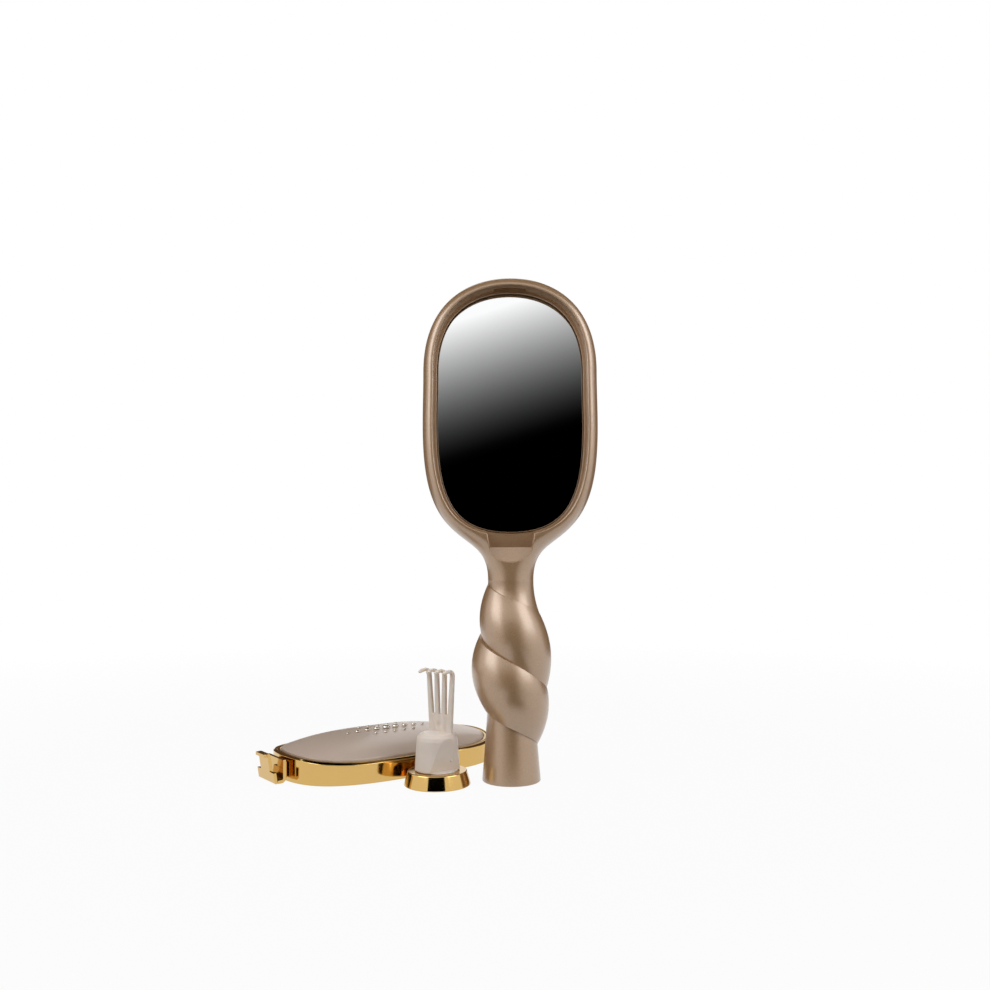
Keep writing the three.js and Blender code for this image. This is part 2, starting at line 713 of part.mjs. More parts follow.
// The cushion cut across into bands, each with its own bristles
function brushBands() {
  const cushion = wholeCushion();
  const places = bristlePlaces();
  const low = HEAD_BOTTOM + cushionInset();
  const high = HEAD_TOP - cushionInset();
  const tall = (high - low) / CUSHION_BANDS;
  const bands = [];
  for (let i = 0; i < CUSHION_BANDS; i++) {
    const from = low + i * tall + (i ? CUSHION_BAND_GAP / 2 : -CUT_PAST);
    const to = low + (i + 1) * tall + (i < CUSHION_BANDS - 1 ? -CUSHION_BAND_GAP / 2 : CUT_PAST);
    const half = HEAD_WIDTH / 2;
    let piece = cushion.intersect(solid(block(-half, half, 0, 3 * HEAD_BACK_DEPTH, from, to)));
    const clear = BRISTLE_ROOT_RADIUS + BRISTLE_EDGE_ROOM;
    for (const place of places) {
      if (Math.floor((place.z - low) / tall) !== i) continue;
      const z = Math.min(Math.max(place.z, from + clear), to - clear);
      piece = piece.add(bristle({ ...place, z }));
    }
    bands.push(piece);
  }
  return bands;
}

// Cover, drawn flat: x runs along it to its tongue, y across it, z up from the floor
const coverMiddle = () => (HEAD_TOP + HEAD_BOTTOM) / 2;
const coverHalfLength = () => (HEAD_TOP - HEAD_BOTTOM) / 2 - RIM_WIDTH - COVER_CLEARANCE;

function coverOutline(inset, count) {
  return headOutline(RIM_WIDTH + COVER_CLEARANCE + inset, count)
    .map((p) => new THREE.Vector2(p.y - coverMiddle(), p.x));
}

function bandHeight(x) {
  const outward = Math.min(Math.abs(x) / coverHalfLength(), 1);
  return COVER_BAND_HEIGHT + COVER_END_RISE * outward ** COVER_END_RISE_POWER;
}

// A band round the cover. Each corner of its section has an inset, and a rise above the band's edge or a
// height above the floor.
function coverBand(corners, count) {
  const rings = corners.map(({ inset, rise, height }) =>
    coverOutline(inset, count).map((p) =>
      new THREE.Vector3(p.x, p.y, height === undefined ? bandHeight(p.x) + rise : height)));
  return band(rings[0].map((unused, i) => rings.map((ring) => ring[i])));
}

function coverRim() {
  const wall = coverBand([
    { inset: 0, height: 0 },
    { inset: 0, rise: 0 },
    { inset: COVER_CHAMFER, rise: COVER_CHAMFER },
    { inset: COVER_WALL, rise: COVER_CHAMFER },
    { inset: COVER_WALL, height: 0 },
  ], OUTLINE_POINTS);
  const end = coverHalfLength();
  const side = TONGUE_WIDTH / 2;
  const tongue = block(end - COVER_WALL, end + TONGUE_LENGTH, -side, side,
    TONGUE_LOW, TONGUE_LOW + TONGUE_THICKNESS);
  return solid(wall).add(solid(tongue));
}

const bezelOuter = () => COVER_WALL + SEAT_GAP;
const bezelInner = () => bezelOuter() + BEZEL_WIDTH;

function coverBezel() {
  const top = COVER_CHAMFER + BEZEL_PROUD;
  const foot = PANEL_EDGE_ABOVE_BAND - PANEL_THICKNESS - SEAT_GAP;
  return coverBand([
    { inset: bezelOuter(), rise: foot - BEZEL_FOOT_THICKNESS },
    { inset: bezelOuter(), rise: top - BEZEL_EDGE },
    { inset: bezelOuter() + BEZEL_EDGE, rise: top },
    { inset: bezelInner() - BEZEL_EDGE, rise: top },
    { inset: bezelInner(), rise: top - BEZEL_EDGE },
    { inset: bezelInner(), rise: foot },
    { inset: bezelInner() + BEZEL_FOOT, rise: foot },
    { inset: bezelInner() + BEZEL_FOOT, rise: foot - BEZEL_FOOT_THICKNESS },
  ], SMALL_OUTLINE_POINTS);
}

// The panel's rings, as shares of its outline, and how square its dome is
const PANEL_SHARES = [1, 0.94, 0.85, 0.7, 0.48, 0.2];
const PANEL_UNDER_SHARES = [1, 0.88, 0.58, 0.14];
const PANEL_ROUNDNESS = 3.2;

function panelTop(x, share) {
  return bandHeight(x) + PANEL_EDGE_ABOVE_BAND + PANEL_CROWN * (1 - share ** PANEL_ROUNDNESS);
}

function coverPanel() {
  const edge = coverOutline(bezelInner() + SEAT_GAP, SMALL_OUTLINE_POINTS);
  const ring = (share, drop) =>
    edge.map((p) => new THREE.Vector3(p.x * share, p.y * share, panelTop(p.x * share, share) - drop));
  const upper = PANEL_SHARES.map((share) => ring(share, 0)).reverse();
  const under = PANEL_UNDER_SHARES.map((share) => ring(share, PANEL_THICKNESS));
  return loft([...upper, ...under]);
}

function panelShare(x, y) {
  const edge = coverOutline(bezelInner() + SEAT_GAP, OUTLINE_POINTS);
  let share = 0;
  for (let i = 0; i < edge.length; i++) {
    const [p, q] = [edge[i], edge[(i + 1) % edge.length]];
    const normal = new THREE.Vector2(p.y - q.y, q.x - p.x);
    const reach = normal.dot(p);
    share = Math.max(share, (normal.x * x + normal.y * y) / reach);
  }
  return share;
}

function stone(radius) {
  return turned([
    [0, 0],
    [STONE_FOOT_SHARE * radius, 0],
    [radius, STONE_GIRDLE_HEIGHT * radius],
    [STONE_TABLE_SHARE * radius, STONE_HEIGHT * radius],
    [0, STONE_HEIGHT * radius],
  ], STONE_SIDES);
}

function stonePlaces() {
  const places = [];
  const half = (ROW_STONES - 1) / 2;
  for (let i = 0; i < ROW_STONES; i++) {
    const away = Math.abs(i - half) / half;
    const radius = THREE.MathUtils.lerp(LARGEST_STONE, SMALLEST_STONE, away);
    places.push({ name: `stone_row_${i + 1}`, x: (i - half) * ROW_SPACING, y: 0, radius });
  }
  const sideHalf = (SIDE_STONES - 1) / 2;
  for (const [side, name] of [[-1, "near"], [1, "far"]]) {
    for (let i = 0; i < SIDE_STONES; i++) {
      const x = (i - sideHalf) * ROW_SPACING;
      places.push({ name: `stone_${name}_${i + 1}`, x, y: side * SIDE_ROW_OFFSET, radius: SIDE_STONE });
    }
  }
  return places;
}

// Latch: x runs outward from the rim's near end. A spacer holds the fixed leg off the rim.
function latchBracket() {
  const sheet = LATCH_SHEET;
  const inner = LATCH_STANDOFF;
  const footEnd = LATCH_REACH - sheet - SEAT_GAP;
  const shape = new THREE.Shape();
  shape.moveTo(inner, SEAT_GAP);
  shape.lineTo(footEnd, SEAT_GAP);
  shape.lineTo(footEnd, SEAT_GAP + sheet);
  shape.lineTo(inner + sheet, SEAT_GAP + sheet);
  shape.lineTo(inner + sheet, LATCH_LEG_TOP);
  shape.lineTo(inner, LATCH_LEG_TOP);
  const leg = plate(shape.getPoints(), -LATCH_WIDTH / 2, LATCH_WIDTH / 2);
  const half = SPACER_WIDTH / 2;
  const spacer = block(SEAT_GAP, inner + sheet / 2, -half, half, SPACER_LOW, SPACER_TOP);
  return solid(leg).add(solid(spacer));
}

// The sprung leaf, drawn from its bend: a wide foot with shoulders, a neck and the thumb flange
function latchLeaf() {
  const sheet = LATCH_SHEET;
  const [low, high] = [SEAT_GAP - latchBendHeight(), LATCH_TOP - latchBendHeight()];
  const lean = (z) => (LATCH_LEAN * (z - low)) / (high - low);
  const leg = (from, to) => [
    new THREE.Vector2(-sheet / 2 + lean(from), from),
    new THREE.Vector2(sheet / 2 + lean(from), from),
    new THREE.Vector2(sheet / 2 + lean(to), to),
    new THREE.Vector2(-sheet / 2 + lean(to), to),
  ];
  const shoulder = LATCH_SHOULDER_HEIGHT - latchBendHeight();
  const foot = plate(leg(low, shoulder), -LATCH_WIDTH / 2, LATCH_WIDTH / 2);
  const neck = plate(leg(shoulder - LATCH_NECK_LAP, high), -LATCH_NECK_WIDTH / 2, LATCH_NECK_WIDTH / 2);
  const flange = block(lean(high) - sheet / 2, lean(high) + sheet / 2 + FLANGE_REACH,
    -FLANGE_WIDTH / 2, FLANGE_WIDTH / 2, high - sheet, high);
  return solid(foot).add(solid(neck)).add(solid(flange));
}

const latchBendHeight = () => SEAT_GAP + LATCH_SHEET / 2;
const latchBendReach = () => LATCH_REACH - LATCH_SHEET / 2;

// Cleaning pick
function pickFoot() {
  const socket = SPIGOT_RADIUS + SEAT_GAP;
  return turned([
    [0, 0],
    [FOOT_RADIUS - FOOT_EDGE, 0],
    [FOOT_RADIUS, FOOT_EDGE],
    [FOOT_TOP_RADIUS, FOOT_HEIGHT - FOOT_EDGE],
    [FOOT_TOP_RADIUS - FOOT_EDGE, FOOT_HEIGHT],
    [socket, FOOT_HEIGHT],
    [socket, FOOT_FLOOR],
    [0, FOOT_FLOOR],
  ]);
}

// The plug's base and top, and the height in it where the tines are rooted
const plugBase = () => FOOT_HEIGHT + SEAT_GAP;
const plugTop = () => plugBase() + PLUG_HEIGHT;
const tineFoot = () => plugTop() - NECK_ROOT;

// The tines fan out and grow thinner upward: their spacing and width at a height
function tineAt(z) {
  const t = (z - tineFoot()) / (PICK_HEIGHT - tineFoot());
  return {
    spacing: THREE.MathUtils.lerp(TINE_LOW_SPACING, TINE_TOP_SPACING, t),
    width: THREE.MathUtils.lerp(TINE_LOW_WIDTH, TINE_TOP_WIDTH, t),
  };
}

// One tine in its own plane: x towards the hook, z up, then turned out along the row
function tine(index) {
  const place = index - (TINE_COUNT - 1) / 2;
  const top = PICK_HEIGHT;
  const foot = tineFoot();
  const half = TINE_THICKNESS / 2;
  const tip = HOOK_REACH;
  const under = top - HOOK_THICKNESS;
  const shape = new THREE.Shape();
  shape.moveTo(-half, foot);
  shape.lineTo(-half, top - HOOK_BEND);
  shape.quadraticCurveTo(-half, top, HOOK_BEND - half, top);
  shape.lineTo(tip - HOOK_NOSE_BEND, top);
  shape.quadraticCurveTo(tip, top, tip, top - HOOK_DROP);
  shape.lineTo(tip - HOOK_NOSE, top - HOOK_DROP);
  shape.quadraticCurveTo(tip - HOOK_NOSE, under, tip - HOOK_NOSE_ROOT, under);
  shape.lineTo(half + HOOK_INNER_BEND, under);
  shape.quadraticCurveTo(half, under, half, under - HOOK_INNER_BEND);
  shape.lineTo(half, foot);
  // Drawn 1 mm wide, then given the tine's width at each height
  const geometry = plate(shape.getPoints(5), -0.5, 0.5);
  const position = geometry.attributes.position;
  for (let i = 0; i < position.count; i++) {
    const { spacing, width } = tineAt(position.getZ(i));
    position.setX(i, position.getX(i) - NECK_BACK_OFFSET);
    position.setY(i, position.getY(i) * width + place * spacing);
  }
  return solid(geometry);
}

// The web between the feet of the tines, a little thinner than they are
function neckWeb() {
  const row = (z) => ((TINE_COUNT - 1) * tineAt(z).spacing) / 2;
  const half = WEB_THICKNESS / 2;
  const rings = [tineFoot(), NECK_TOP].map((z) => [[-half, -1], [half, -1], [half, 1], [-half, 1]].map(
    ([x, side]) => new THREE.Vector3(x - NECK_BACK_OFFSET, side * row(z), z),
  ));
  return solid(loft(rings));
}

function pickComb() {
  const [base, top] = [plugBase(), plugTop()];
  const roundShare = 1 - Math.SQRT1_2;
  const body = solid(turned([
    [0, FOOT_FLOOR + SEAT_GAP],
    [SPIGOT_RADIUS, FOOT_FLOOR + SEAT_GAP],
    [SPIGOT_RADIUS, base],
    [PLUG_RADIUS, base],
    [PLUG_TOP_RADIUS, top - PLUG_ROUND],
    [PLUG_TOP_RADIUS - roundShare * PLUG_ROUND, top - roundShare * PLUG_ROUND],
    [PLUG_TOP_RADIUS - PLUG_ROUND, top],
    [0, top],
  ]));
  const outside = 3 * PLUG_RADIUS;
  const wedge = plate([
    new THREE.Vector2(FACET_LOW_DISTANCE, base),
    new THREE.Vector2(outside, base),
    new THREE.Vector2(outside, top + CUT_PAST),
    new THREE.Vector2(FACET_HIGH_DISTANCE, top + CUT_PAST),
  ], -outside, outside);
  wedge.rotateZ(THREE.MathUtils.degToRad(FACET_TURN));
  const facetAtDetent = THREE.MathUtils.mapLinear(
    base + DETENT_HEIGHT, base, top + CUT_PAST, FACET_LOW_DISTANCE, FACET_HIGH_DISTANCE,
  );
  const detent = new THREE.SphereGeometry(DETENT_RADIUS, 10, 6);
  detent.translate(facetAtDetent - DETENT_RADIUS + DETENT_PROUD, DETENT_SIDE, base + DETENT_HEIGHT);
  detent.rotateZ(THREE.MathUtils.degToRad(FACET_TURN));
  const dimple = new THREE.SphereGeometry(DIMPLE_RADIUS, 12, 8);
  dimple.scale(DIMPLE_DEPTH_SHARE, 1, DIMPLE_TALL_SHARE);
  dimple.translate(TINE_THICKNESS / 2 - NECK_BACK_OFFSET, 0, (top + NECK_TOP) / 2 - DIMPLE_DROP);
  let comb = body.subtract(solid(wedge)).add(solid(detent)).add(neckWeb());
  for (let i = 0; i < TINE_COUNT; i++) comb = comb.add(tine(i));
  return comb.subtract(solid(dimple));
}

// The assembly
function mesh(name, shape, finish) {
  const geometry = shape.isBufferGeometry ? shape : geometryOf(shape);
  const made = new THREE.Mesh(geometry, material(finish));
  made.name = name;
  return made;
}

function handleGroup() {
  const group = new THREE.Group();
  group.add(mesh("handle_moulding", handleMoulding(), "champagne"));
  group.add(mesh("mirror_glass", mirrorGlass(), "mirror"));
  group.add(mesh("mirror_pad", mirrorPad(), "pad"));
  group.add(mesh("brush_ring", brushRing(), "champagne"));
  brushBands().forEach((piece, i) => group.add(mesh(`bristle_band_${i + 1}`, piece, "rubber")));
  return group;
}

function latchGroup() {
  const group = new THREE.Group();
  group.position.x = -coverHalfLength();
  group.rotation.z = Math.PI;
  group.add(mesh("latch_bracket", latchBracket(), "gold"));
  const leaf = mesh("latch_leaf", latchLeaf(), "gold");
  leaf.position.set(latchBendReach(), 0, latchBendHeight());
  group.add(leaf);
  return group;
}

function coverGroup() {
  const group = new THREE.Group();
  group.position.set(COVER_X, COVER_Y, 0);
  group.rotation.z = THREE.MathUtils.degToRad(COVER_TURN);
  group.add(mesh("cover_rim", coverRim(), "gold"));
  group.add(mesh("cover_bezel", coverBezel(), "gold"));
  group.add(mesh("cover_panel", coverPanel(), "pearl"));
  for (const { name, x, y, radius } of stonePlaces()) {
    const piece = mesh(name, stone(radius), "stone");
    piece.position.set(x, y, panelTop(x, panelShare(x, y)) + SEAT_GAP);
    group.add(piece);
  }
  group.add(latchGroup());
  return group;
}

function pickGroup() {
  const group = new THREE.Group();
  group.position.set(PICK_X, PICK_Y, 0);
  group.rotation.z = THREE.MathUtils.degToRad(PICK_TURN);
  group.add(mesh("pick_foot", pickFoot(), "gold"));
  group.add(mesh("pick_comb", pickComb(), "nylon"));
  return group;
}

// The origin is under the middle of the whole, on the floor
const brush = new THREE.Group();
brush.add(handleGroup(), coverGroup(), pickGroup());
const extent = new THREE.Box3().setFromObject(brush, true);
const middle = extent.getCenter(new THREE.Vector3());
brush.position.set(-middle.x, -middle.y, -extent.min.z);

export default brush;
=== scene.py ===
"""A styling brush with a mirror, its lift-off cover and its cleaning pick, dressed on their frame."""

import math

import bmesh
import bpy
from mathutils import Matrix, Vector


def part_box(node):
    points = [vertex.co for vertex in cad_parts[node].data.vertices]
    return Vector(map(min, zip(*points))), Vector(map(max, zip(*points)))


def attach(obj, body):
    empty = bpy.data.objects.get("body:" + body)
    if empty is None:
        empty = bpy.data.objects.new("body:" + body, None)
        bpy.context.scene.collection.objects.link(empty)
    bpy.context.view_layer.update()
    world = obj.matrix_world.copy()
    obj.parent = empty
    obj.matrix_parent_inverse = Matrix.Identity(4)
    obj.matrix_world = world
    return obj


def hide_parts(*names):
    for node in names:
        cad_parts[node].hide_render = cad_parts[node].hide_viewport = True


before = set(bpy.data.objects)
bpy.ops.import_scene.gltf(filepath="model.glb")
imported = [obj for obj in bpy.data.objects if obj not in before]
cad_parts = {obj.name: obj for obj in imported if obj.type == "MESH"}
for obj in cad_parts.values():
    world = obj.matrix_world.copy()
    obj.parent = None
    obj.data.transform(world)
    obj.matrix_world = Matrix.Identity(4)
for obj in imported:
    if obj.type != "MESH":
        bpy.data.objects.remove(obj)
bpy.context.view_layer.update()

bl_info = {
    "name": "Styling brush with mirror",
    "version": (1, 0, 0),
    "blender": (4, 5, 0),
    "location": "3D View > Sidebar > Styling brush",
    "description": "Makes the looks of a mirror brush, its cover and its cleaning pick around their frame",
    "category": "Object",
}

MM = 0.001


def middle_of(node):
    low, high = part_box(node)
    return (low + high) / 2


# Where the three pieces stand, from the frame
GLASS_LOW, GLASS_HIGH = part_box("mirror_glass")
HANDLE_AXIS = Vector((middle_of("mirror_glass").x, GLASS_LOW.y, 0))
MIRROR_THICKNESS = GLASS_HIGH.y - GLASS_LOW.y
HEAD_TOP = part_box("handle_moulding")[1].z
COVER_MIDDLE = middle_of("stone_row_5")
COVER_ROW = middle_of("stone_row_9") - middle_of("stone_row_1")
COVER_TURN = math.atan2(COVER_ROW.y, COVER_ROW.x)
PICK_MIDDLE = middle_of("pick_foot")
PICK_TURN = math.radians(-128)


def standing(middle, turn):
    """Places a piece that is modelled about the axis through its middle"""
    return Matrix.Translation((middle.x, middle.y, 0)) @ Matrix.Rotation(turn, 4, "Z")


HANDLE_PLACE = Matrix.Translation(HANDLE_AXIS)
COVER_PLACE = standing(COVER_MIDDLE, COVER_TURN)
PICK_PLACE = standing(PICK_MIDDLE, PICK_TURN)

# The grip's strand, in quarter turns down its crease: heights and radii in millimetres
CREASE_START = -4
CREASE_HEIGHTS = (95.9, 95.6, 95.2, 94.7, 94.1, 87.4, 79.2, 74.2, 69.1, 58.1, 43.2, 39.4, 36, 26.8, 17.3,
                  14.6, 13.2)
STRAND_TOP_RADII = (10.87, 10.87, 10.87, 10.87, 10.9, 12.3, 14.1, 14.5, 15.1, 16.5, 17.4, 14.4)
STRAND_SWELLS = (0, -0.4, -0.75, 0.8, 2.3, 3.1, 3.8, 4.2, 4.6, 4, 2.4, 1.1, 0)
STRAND_FOOT_RADII = (10.5, 11.6, 14, 14.2, 13.9, 15.6, 16.7, 15.6, 13.5, 13.0, 12.6)
# Quarter turns in a whole one
TURN = 4

# Smaller than any length that counts
TINY = 1e-9


# How the sizes are given

def number(value, words, **kind):
    return bpy.props.FloatProperty, {"default": value, "description": words, **kind}


def three(value, words, **kind):
    return bpy.props.FloatVectorProperty, {"default": value, "description": words, "size": 3, **kind}


def size(value, words):
    """A length, written in millimetres and kept in metres"""
    return number(value * MM, words, unit="LENGTH", precision=5)


def share(value, words):
    return number(value, words, subtype="FACTOR")


def degrees(value, words):
    """An angle, written in degrees and kept in radians"""
    return number(math.radians(value), words, unit="ROTATION")


def power(value, words):
    return number(value, words, unit="POWER")


def shade(value, words):
    return three(value, words, subtype="COLOR", min=0, max=1)


def named(group):
    """Makes the properties of a group, each named after its key"""
    for key, (make, settings) in group.__annotations__.items():
        group.__annotations__[key] = make(name=key.replace("_", " ").capitalize(), **settings)
    return group


@named
class HandleSizes(bpy.types.PropertyGroup):
    """Sizes of the handle moulding"""
    head_width: size(83, "Width of the head across its widest place")
    head_bottom: size(111.8, "Height of the bottom of the head's oval")
    head_widest: size(195.4, "Height at which the head is widest")
    top_fullness: share(0.504, "How far the top's curve stays level")
    shoulder_fullness: share(0.725, "How far the shoulders stay upright")
    hip_fullness: share(0.418, "How far the sides stay upright below the widest place")
    bottom_fullness: share(1.179, "How far the bottom's curve stays level")
    front_depth: size(10.4, "From the axis to the rim's front")
    back_depth: size(8.6, "From the axis to the head's back")
    rim_width: size(5.2, "Width of the rim round the recess")
    rim_front_round: size(4.7, "Width of the rim's rounding in front")
    rim_back_round: size(4.5, "Width of the rim's rounding behind")
    edge_round: size(0.35, "Rounding of the edges of recess, slot and bore")
    pocket_round: size(0.45, "Rounding of the pocket's edge")
    recess_floor: size(3.2, "Depth of the recess's floor behind the axis")
    glass_step: size(1.3, "Width of the step round the glass")
    glass_step_depth: size(0.9, "Height of that step in front of the glass")
    slot_width: size(15.6, "Width of the slot for the cover's tongue")
    slot_depth: size(3.1, "Depth of the slot above the recess")
    slot_front: size(-5.4, "Front of the slot, from the axis")
    slot_back: size(-1, "Back of the slot, from the axis")
    pocket_top_half: size(10.9, "Half the width of the latch pocket at its top")
    pocket_low_half: size(9.9, "Half its width where the scoop begins")
    pocket_step: size(111.6, "Height at which the finger scoop begins")
    pocket_lowest: size(104.8, "Height of the scoop's lowest edge")
    pocket_floor: size(0.6, "Depth of the latch pocket, behind the axis")
    scoop_top_depth: size(4.6, "From the axis forward to the scoop's floor at its top")
    scoop_low_depth: size(7.2, "The same at its bottom")
    throat_radius: size(10.87, "Radius of the throat under the head")
    throat_low: size(96, "Height at which the throat passes into the grip")
    flare_join: size(124, "Height at which the throat's flare meets the head's oval")
    flare_throat_pull: size(17, "How far the flare stays upright")
    flare_head_pull: size(16, "How far the flare follows the head")
    strand_edge_round: size(0.3, "Rounding of the strand's upper edge")
    stem_waist_radius: size(11, "Radius of the stem at its waist")
    stem_waist_height: size(36, "Height of that waist")
    stem_foot_radius: size(14.05, "Radius of the stem where it stands")
    foot_round: size(0.5, "Rounding of the stem's lower edge")
    bore_mouth_radius: size(10.95, "Radius of the bore for the pick's plug")
    bore_mouth_depth: size(18.2, "Depth of that bore")
    bore_inner_radius: size(9.92, "Radius of the bore for the tines")
    bore_depth: size(49.2, "Depth of the whole bore")


@named
class BrushFieldSizes(bpy.types.PropertyGroup):
    """Sizes of the brush in the head's back"""
    margin: size(11.5, "From the head's edge to the cushion's seat")
    seat_depth: size(2.4, "Depth of that seat")
    gap: size(0.3, "Clearance between the pieces")
    ring_width: size(3, "Width of the retaining ring")
    ring_proud: size(1.4, "How far the ring stands proud of the back")
    ring_edge: size(0.9, "Rounding of the ring")
    cushion_edge: size(0.9, "How far the cushion's edge stands proud of the back")
    cushion_crown: size(3.2, "How far the cushion rises to its middle")
    pitch: size(3.4, "From one bristle pin to the next")
    pin_margin: size(4.2, "From the cushion's edge to the outer pins")
    pin_length: size(13.2, "Length of a pin over the cushion")
    pin_root_radius: size(0.72, "Radius of a pin at its root")
    pin_tip_radius: size(0.42, "Radius of a pin under its ball")
    ball_radius: size(0.68, "Radius of the ball on the pin's end")


@named
class CoverSizes(bpy.types.PropertyGroup):
    """Sizes of the mirror's cover and its latch"""
    clearance: size(0.6, "From the recess to the cover's band")
    wall: size(1.6, "Thickness of the gold band")
    band_height: size(9.3, "Height of the band at its middle")
    end_rise: size(2.2, "How much higher the band is at its ends")
    end_rise_power: share(6, "How late the band begins to rise towards its ends")
    chamfer: size(1, "Chamfer along the band's upper edge")
    gap: size(0.3, "Clearance between the pieces")
    bezel_width: size(1.8, "Width of the bezel round the panel")
    bezel_proud: size(0, "How far the bezel stands over the chamfer")
    bezel_foot: size(1.9, "Width of the bezel's foot under the panel")
    bezel_foot_thickness: size(0.9, "Thickness of that foot")
    panel_thickness: size(1.5, "Thickness of the pearl panel")
    panel_crown: size(6.8, "How far the panel rises to its middle")
    panel_edge: size(1.8, "Height of the panel's edge over the band's")
    panel_roundness: share(3.2, "How square the panel's dome is")
    tongue_width: size(14.8, "Width of the tongue")
    tongue_length: size(2.6, "How far the tongue stands out")
    tongue_low: size(1.4, "Height of the tongue's underside")
    tongue_thickness: size(3.2, "Thickness of the tongue")
    latch_sheet: size(1.5, "Thickness of the latch's sheet")
    latch_standoff: size(2, "From the band's end to the fixed leg")
    latch_reach: size(7.8, "How far the latch stands out")
    latch_lean: size(1.9, "How far the leaf leans outward over its height")
    latch_width: size(18.8, "Width of the latch")
    latch_neck: size(10.5, "Width of the leaf above its shoulders")
    latch_shoulder: size(5.5, "Height of the shoulders")
    latch_leg: size(11.2, "Height of the fixed leg")
    latch_top: size(14, "Height of the thumb flange")
    flange_width: size(9.6, "Width of the thumb flange")
    flange_reach: size(1.5, "How far the flange stands out")
    spacer_width: size(13, "Width of the spacer behind the fixed leg")
    spacer_low: size(2, "Height of the spacer's underside")
    spacer_top: size(9.6, "Height of its top")


@named
class PickSizes(bpy.types.PropertyGroup):
    """Sizes of the cleaning pick"""
    foot_radius: size(15.75, "Radius of the foot ring on the floor")
    foot_top_radius: size(14.1, "Radius of its upper edge")
    foot_height: size(6.8, "Height of the foot ring")
    foot_floor: size(1.6, "Thickness of its floor")
    foot_edge: size(0.5, "Rounding of its edges")
    spigot_radius: size(9.6, "Radius of the plug's spigot in the ring")
    gap: size(0.3, "Clearance between ring and plug")
    plug_radius: size(10.6, "Radius of the plug at its base")
    plug_top_radius: size(9.7, "Radius of the plug at its top")
    plug_height: size(17.6, "Height of the plug")
    plug_round: size(3.4, "Rounding of the plug's top")
    facet_low: size(6.6, "From the axis to the slanted facet at its foot")
    facet_high: size(10.2, "The same at its top")
    facet_turn: degrees(75, "Which way the facet faces")
    detent_radius: size(0.8, "Radius of the small ball on the facet")
    detent_height: size(4.9, "Height of that ball over the plug's base")
    detent_side: size(2.9, "How far it sits from the facet's middle")
    detent_proud: size(0.35, "How far it stands out")
    web_thickness: size(1.5, "Thickness of the web between the feet of the tines")
    web_top: size(32.8, "Height at which the tines part")
    back_offset: size(2.7, "From the axis to the row of tines")
    tine_root: size(3, "How deep the tines are rooted in the plug")
    tine_low_width: size(3.2, "Width of a tine at the plug")
    tine_top_width: size(2.1, "The same at its top")
    tine_thickness: size(2.1, "Thickness of a tine")
    tine_low_spacing: size(3.5, "From tine to tine at the plug")
    tine_top_spacing: size(5, "The same at the top")
    height: size(54.4, "Height of the whole pick")
    hook_reach: size(7.8, "From a tine's middle to the tip of its hook")
    hook_thickness: size(1.6, "Thickness of a hook")
    hook_bend: size(2.6, "Radius of the bend under a hook")
    hook_sink: size(0.9, "How far a hook sinks towards its tip")
    dimple_radius: size(1.6, "Half the width of the dimple in the ribs")
    dimple_depth: share(0.4, "Its depth as a share of its half width")
    dimple_tall: share(1.3, "Its half height as a share of its half width")
    dimple_drop: size(1, "How far it sits below the middle of the ribbed neck")


@named
class Finishes(bpy.types.PropertyGroup):
    """Colours of the finishes"""
    champagne: shade((0.4, 0.233, 0.11), "Lacquer of the handle")
    gold: shade((0.67, 0.435, 0.15), "Plate of the cover's band, the latch and the foot ring")
    pearl: shade((0.55, 0.44, 0.365), "Lacquer of the cover's panel")
    silver: shade((0.97, 0.975, 0.98), "Silvering of the mirror")
    nylon: shade((0.8, 0.71, 0.635), "Moulding of the pick's comb")
    rubber: shade((0.03, 0.022, 0.02), "Cushion of the brush")
    bristle: shade((0.05, 0.035, 0.028), "Pins of the brush")
    crystal: shade((0.9, 0.83, 0.7), "Stones on the panel")
    foam: shade((0.72, 0.7, 0.65), "Adhesive pad behind the glass")


@named
class StageSettings(bpy.types.PropertyGroup):
    """Floor, lamps and camera"""
    camera_place: three((0.03362, -0.46687, 0.1056), "Where the camera stands", subtype="XYZ")
    lens: number(32.87, "Focal length of the camera", unit="CAMERA")
    side_shift: share(-0.0006, "How far the frame is shifted to the side")
    shift: share(0.0657, "How far the frame is shifted so that the horizon lies low")
    roll: degrees(0.22, "How far the camera is turned about its line of sight")
    key_power: power(3.45, "Power of the left softbox")
    fill_power: power(3.35, "Power of the right softbox")
    top_power: power(2.5, "Power of the softbox overhead")
    ambient: share(0.35, "Level of the room's own light")


def sizes_of(name):
    return getattr(bpy.context.scene, name)


# Selecting and editing

def deselect():
    bpy.ops.object.select_all(action="DESELECT")


def take_up(piece):
    """Makes this piece the only selected one and the active one"""
    if bpy.context.object and bpy.context.object.mode != "OBJECT":
        bpy.ops.object.mode_set(mode="OBJECT")
    deselect()
    piece.select_set(True)
    bpy.context.view_layer.objects.active = piece


def start_edit(piece):
    """Enters edit mode with the whole piece selected"""
    take_up(piece)
    bpy.ops.object.mode_set(mode="EDIT")
    bpy.ops.mesh.select_mode(type="VERT")
    bpy.ops.mesh.select_all(action="SELECT")


def end_edit():
    bpy.ops.object.mode_set(mode="OBJECT")


def turn_outward():
    """Turns the faces of the piece in edit mode outward"""
    bpy.ops.mesh.select_all(action="SELECT")
    bpy.ops.mesh.normals_make_consistent(inside=False)


def choose_rims(piece):
    """Adds the open edges of the piece in edit mode to the selection"""
    bm = bmesh.from_edit_mesh(piece.data)
    for edge in bm.edges:
        if edge.is_boundary:
            edge.select_set(True)
    bm.select_flush_mode()
    bmesh.update_edit_mesh(piece.data)


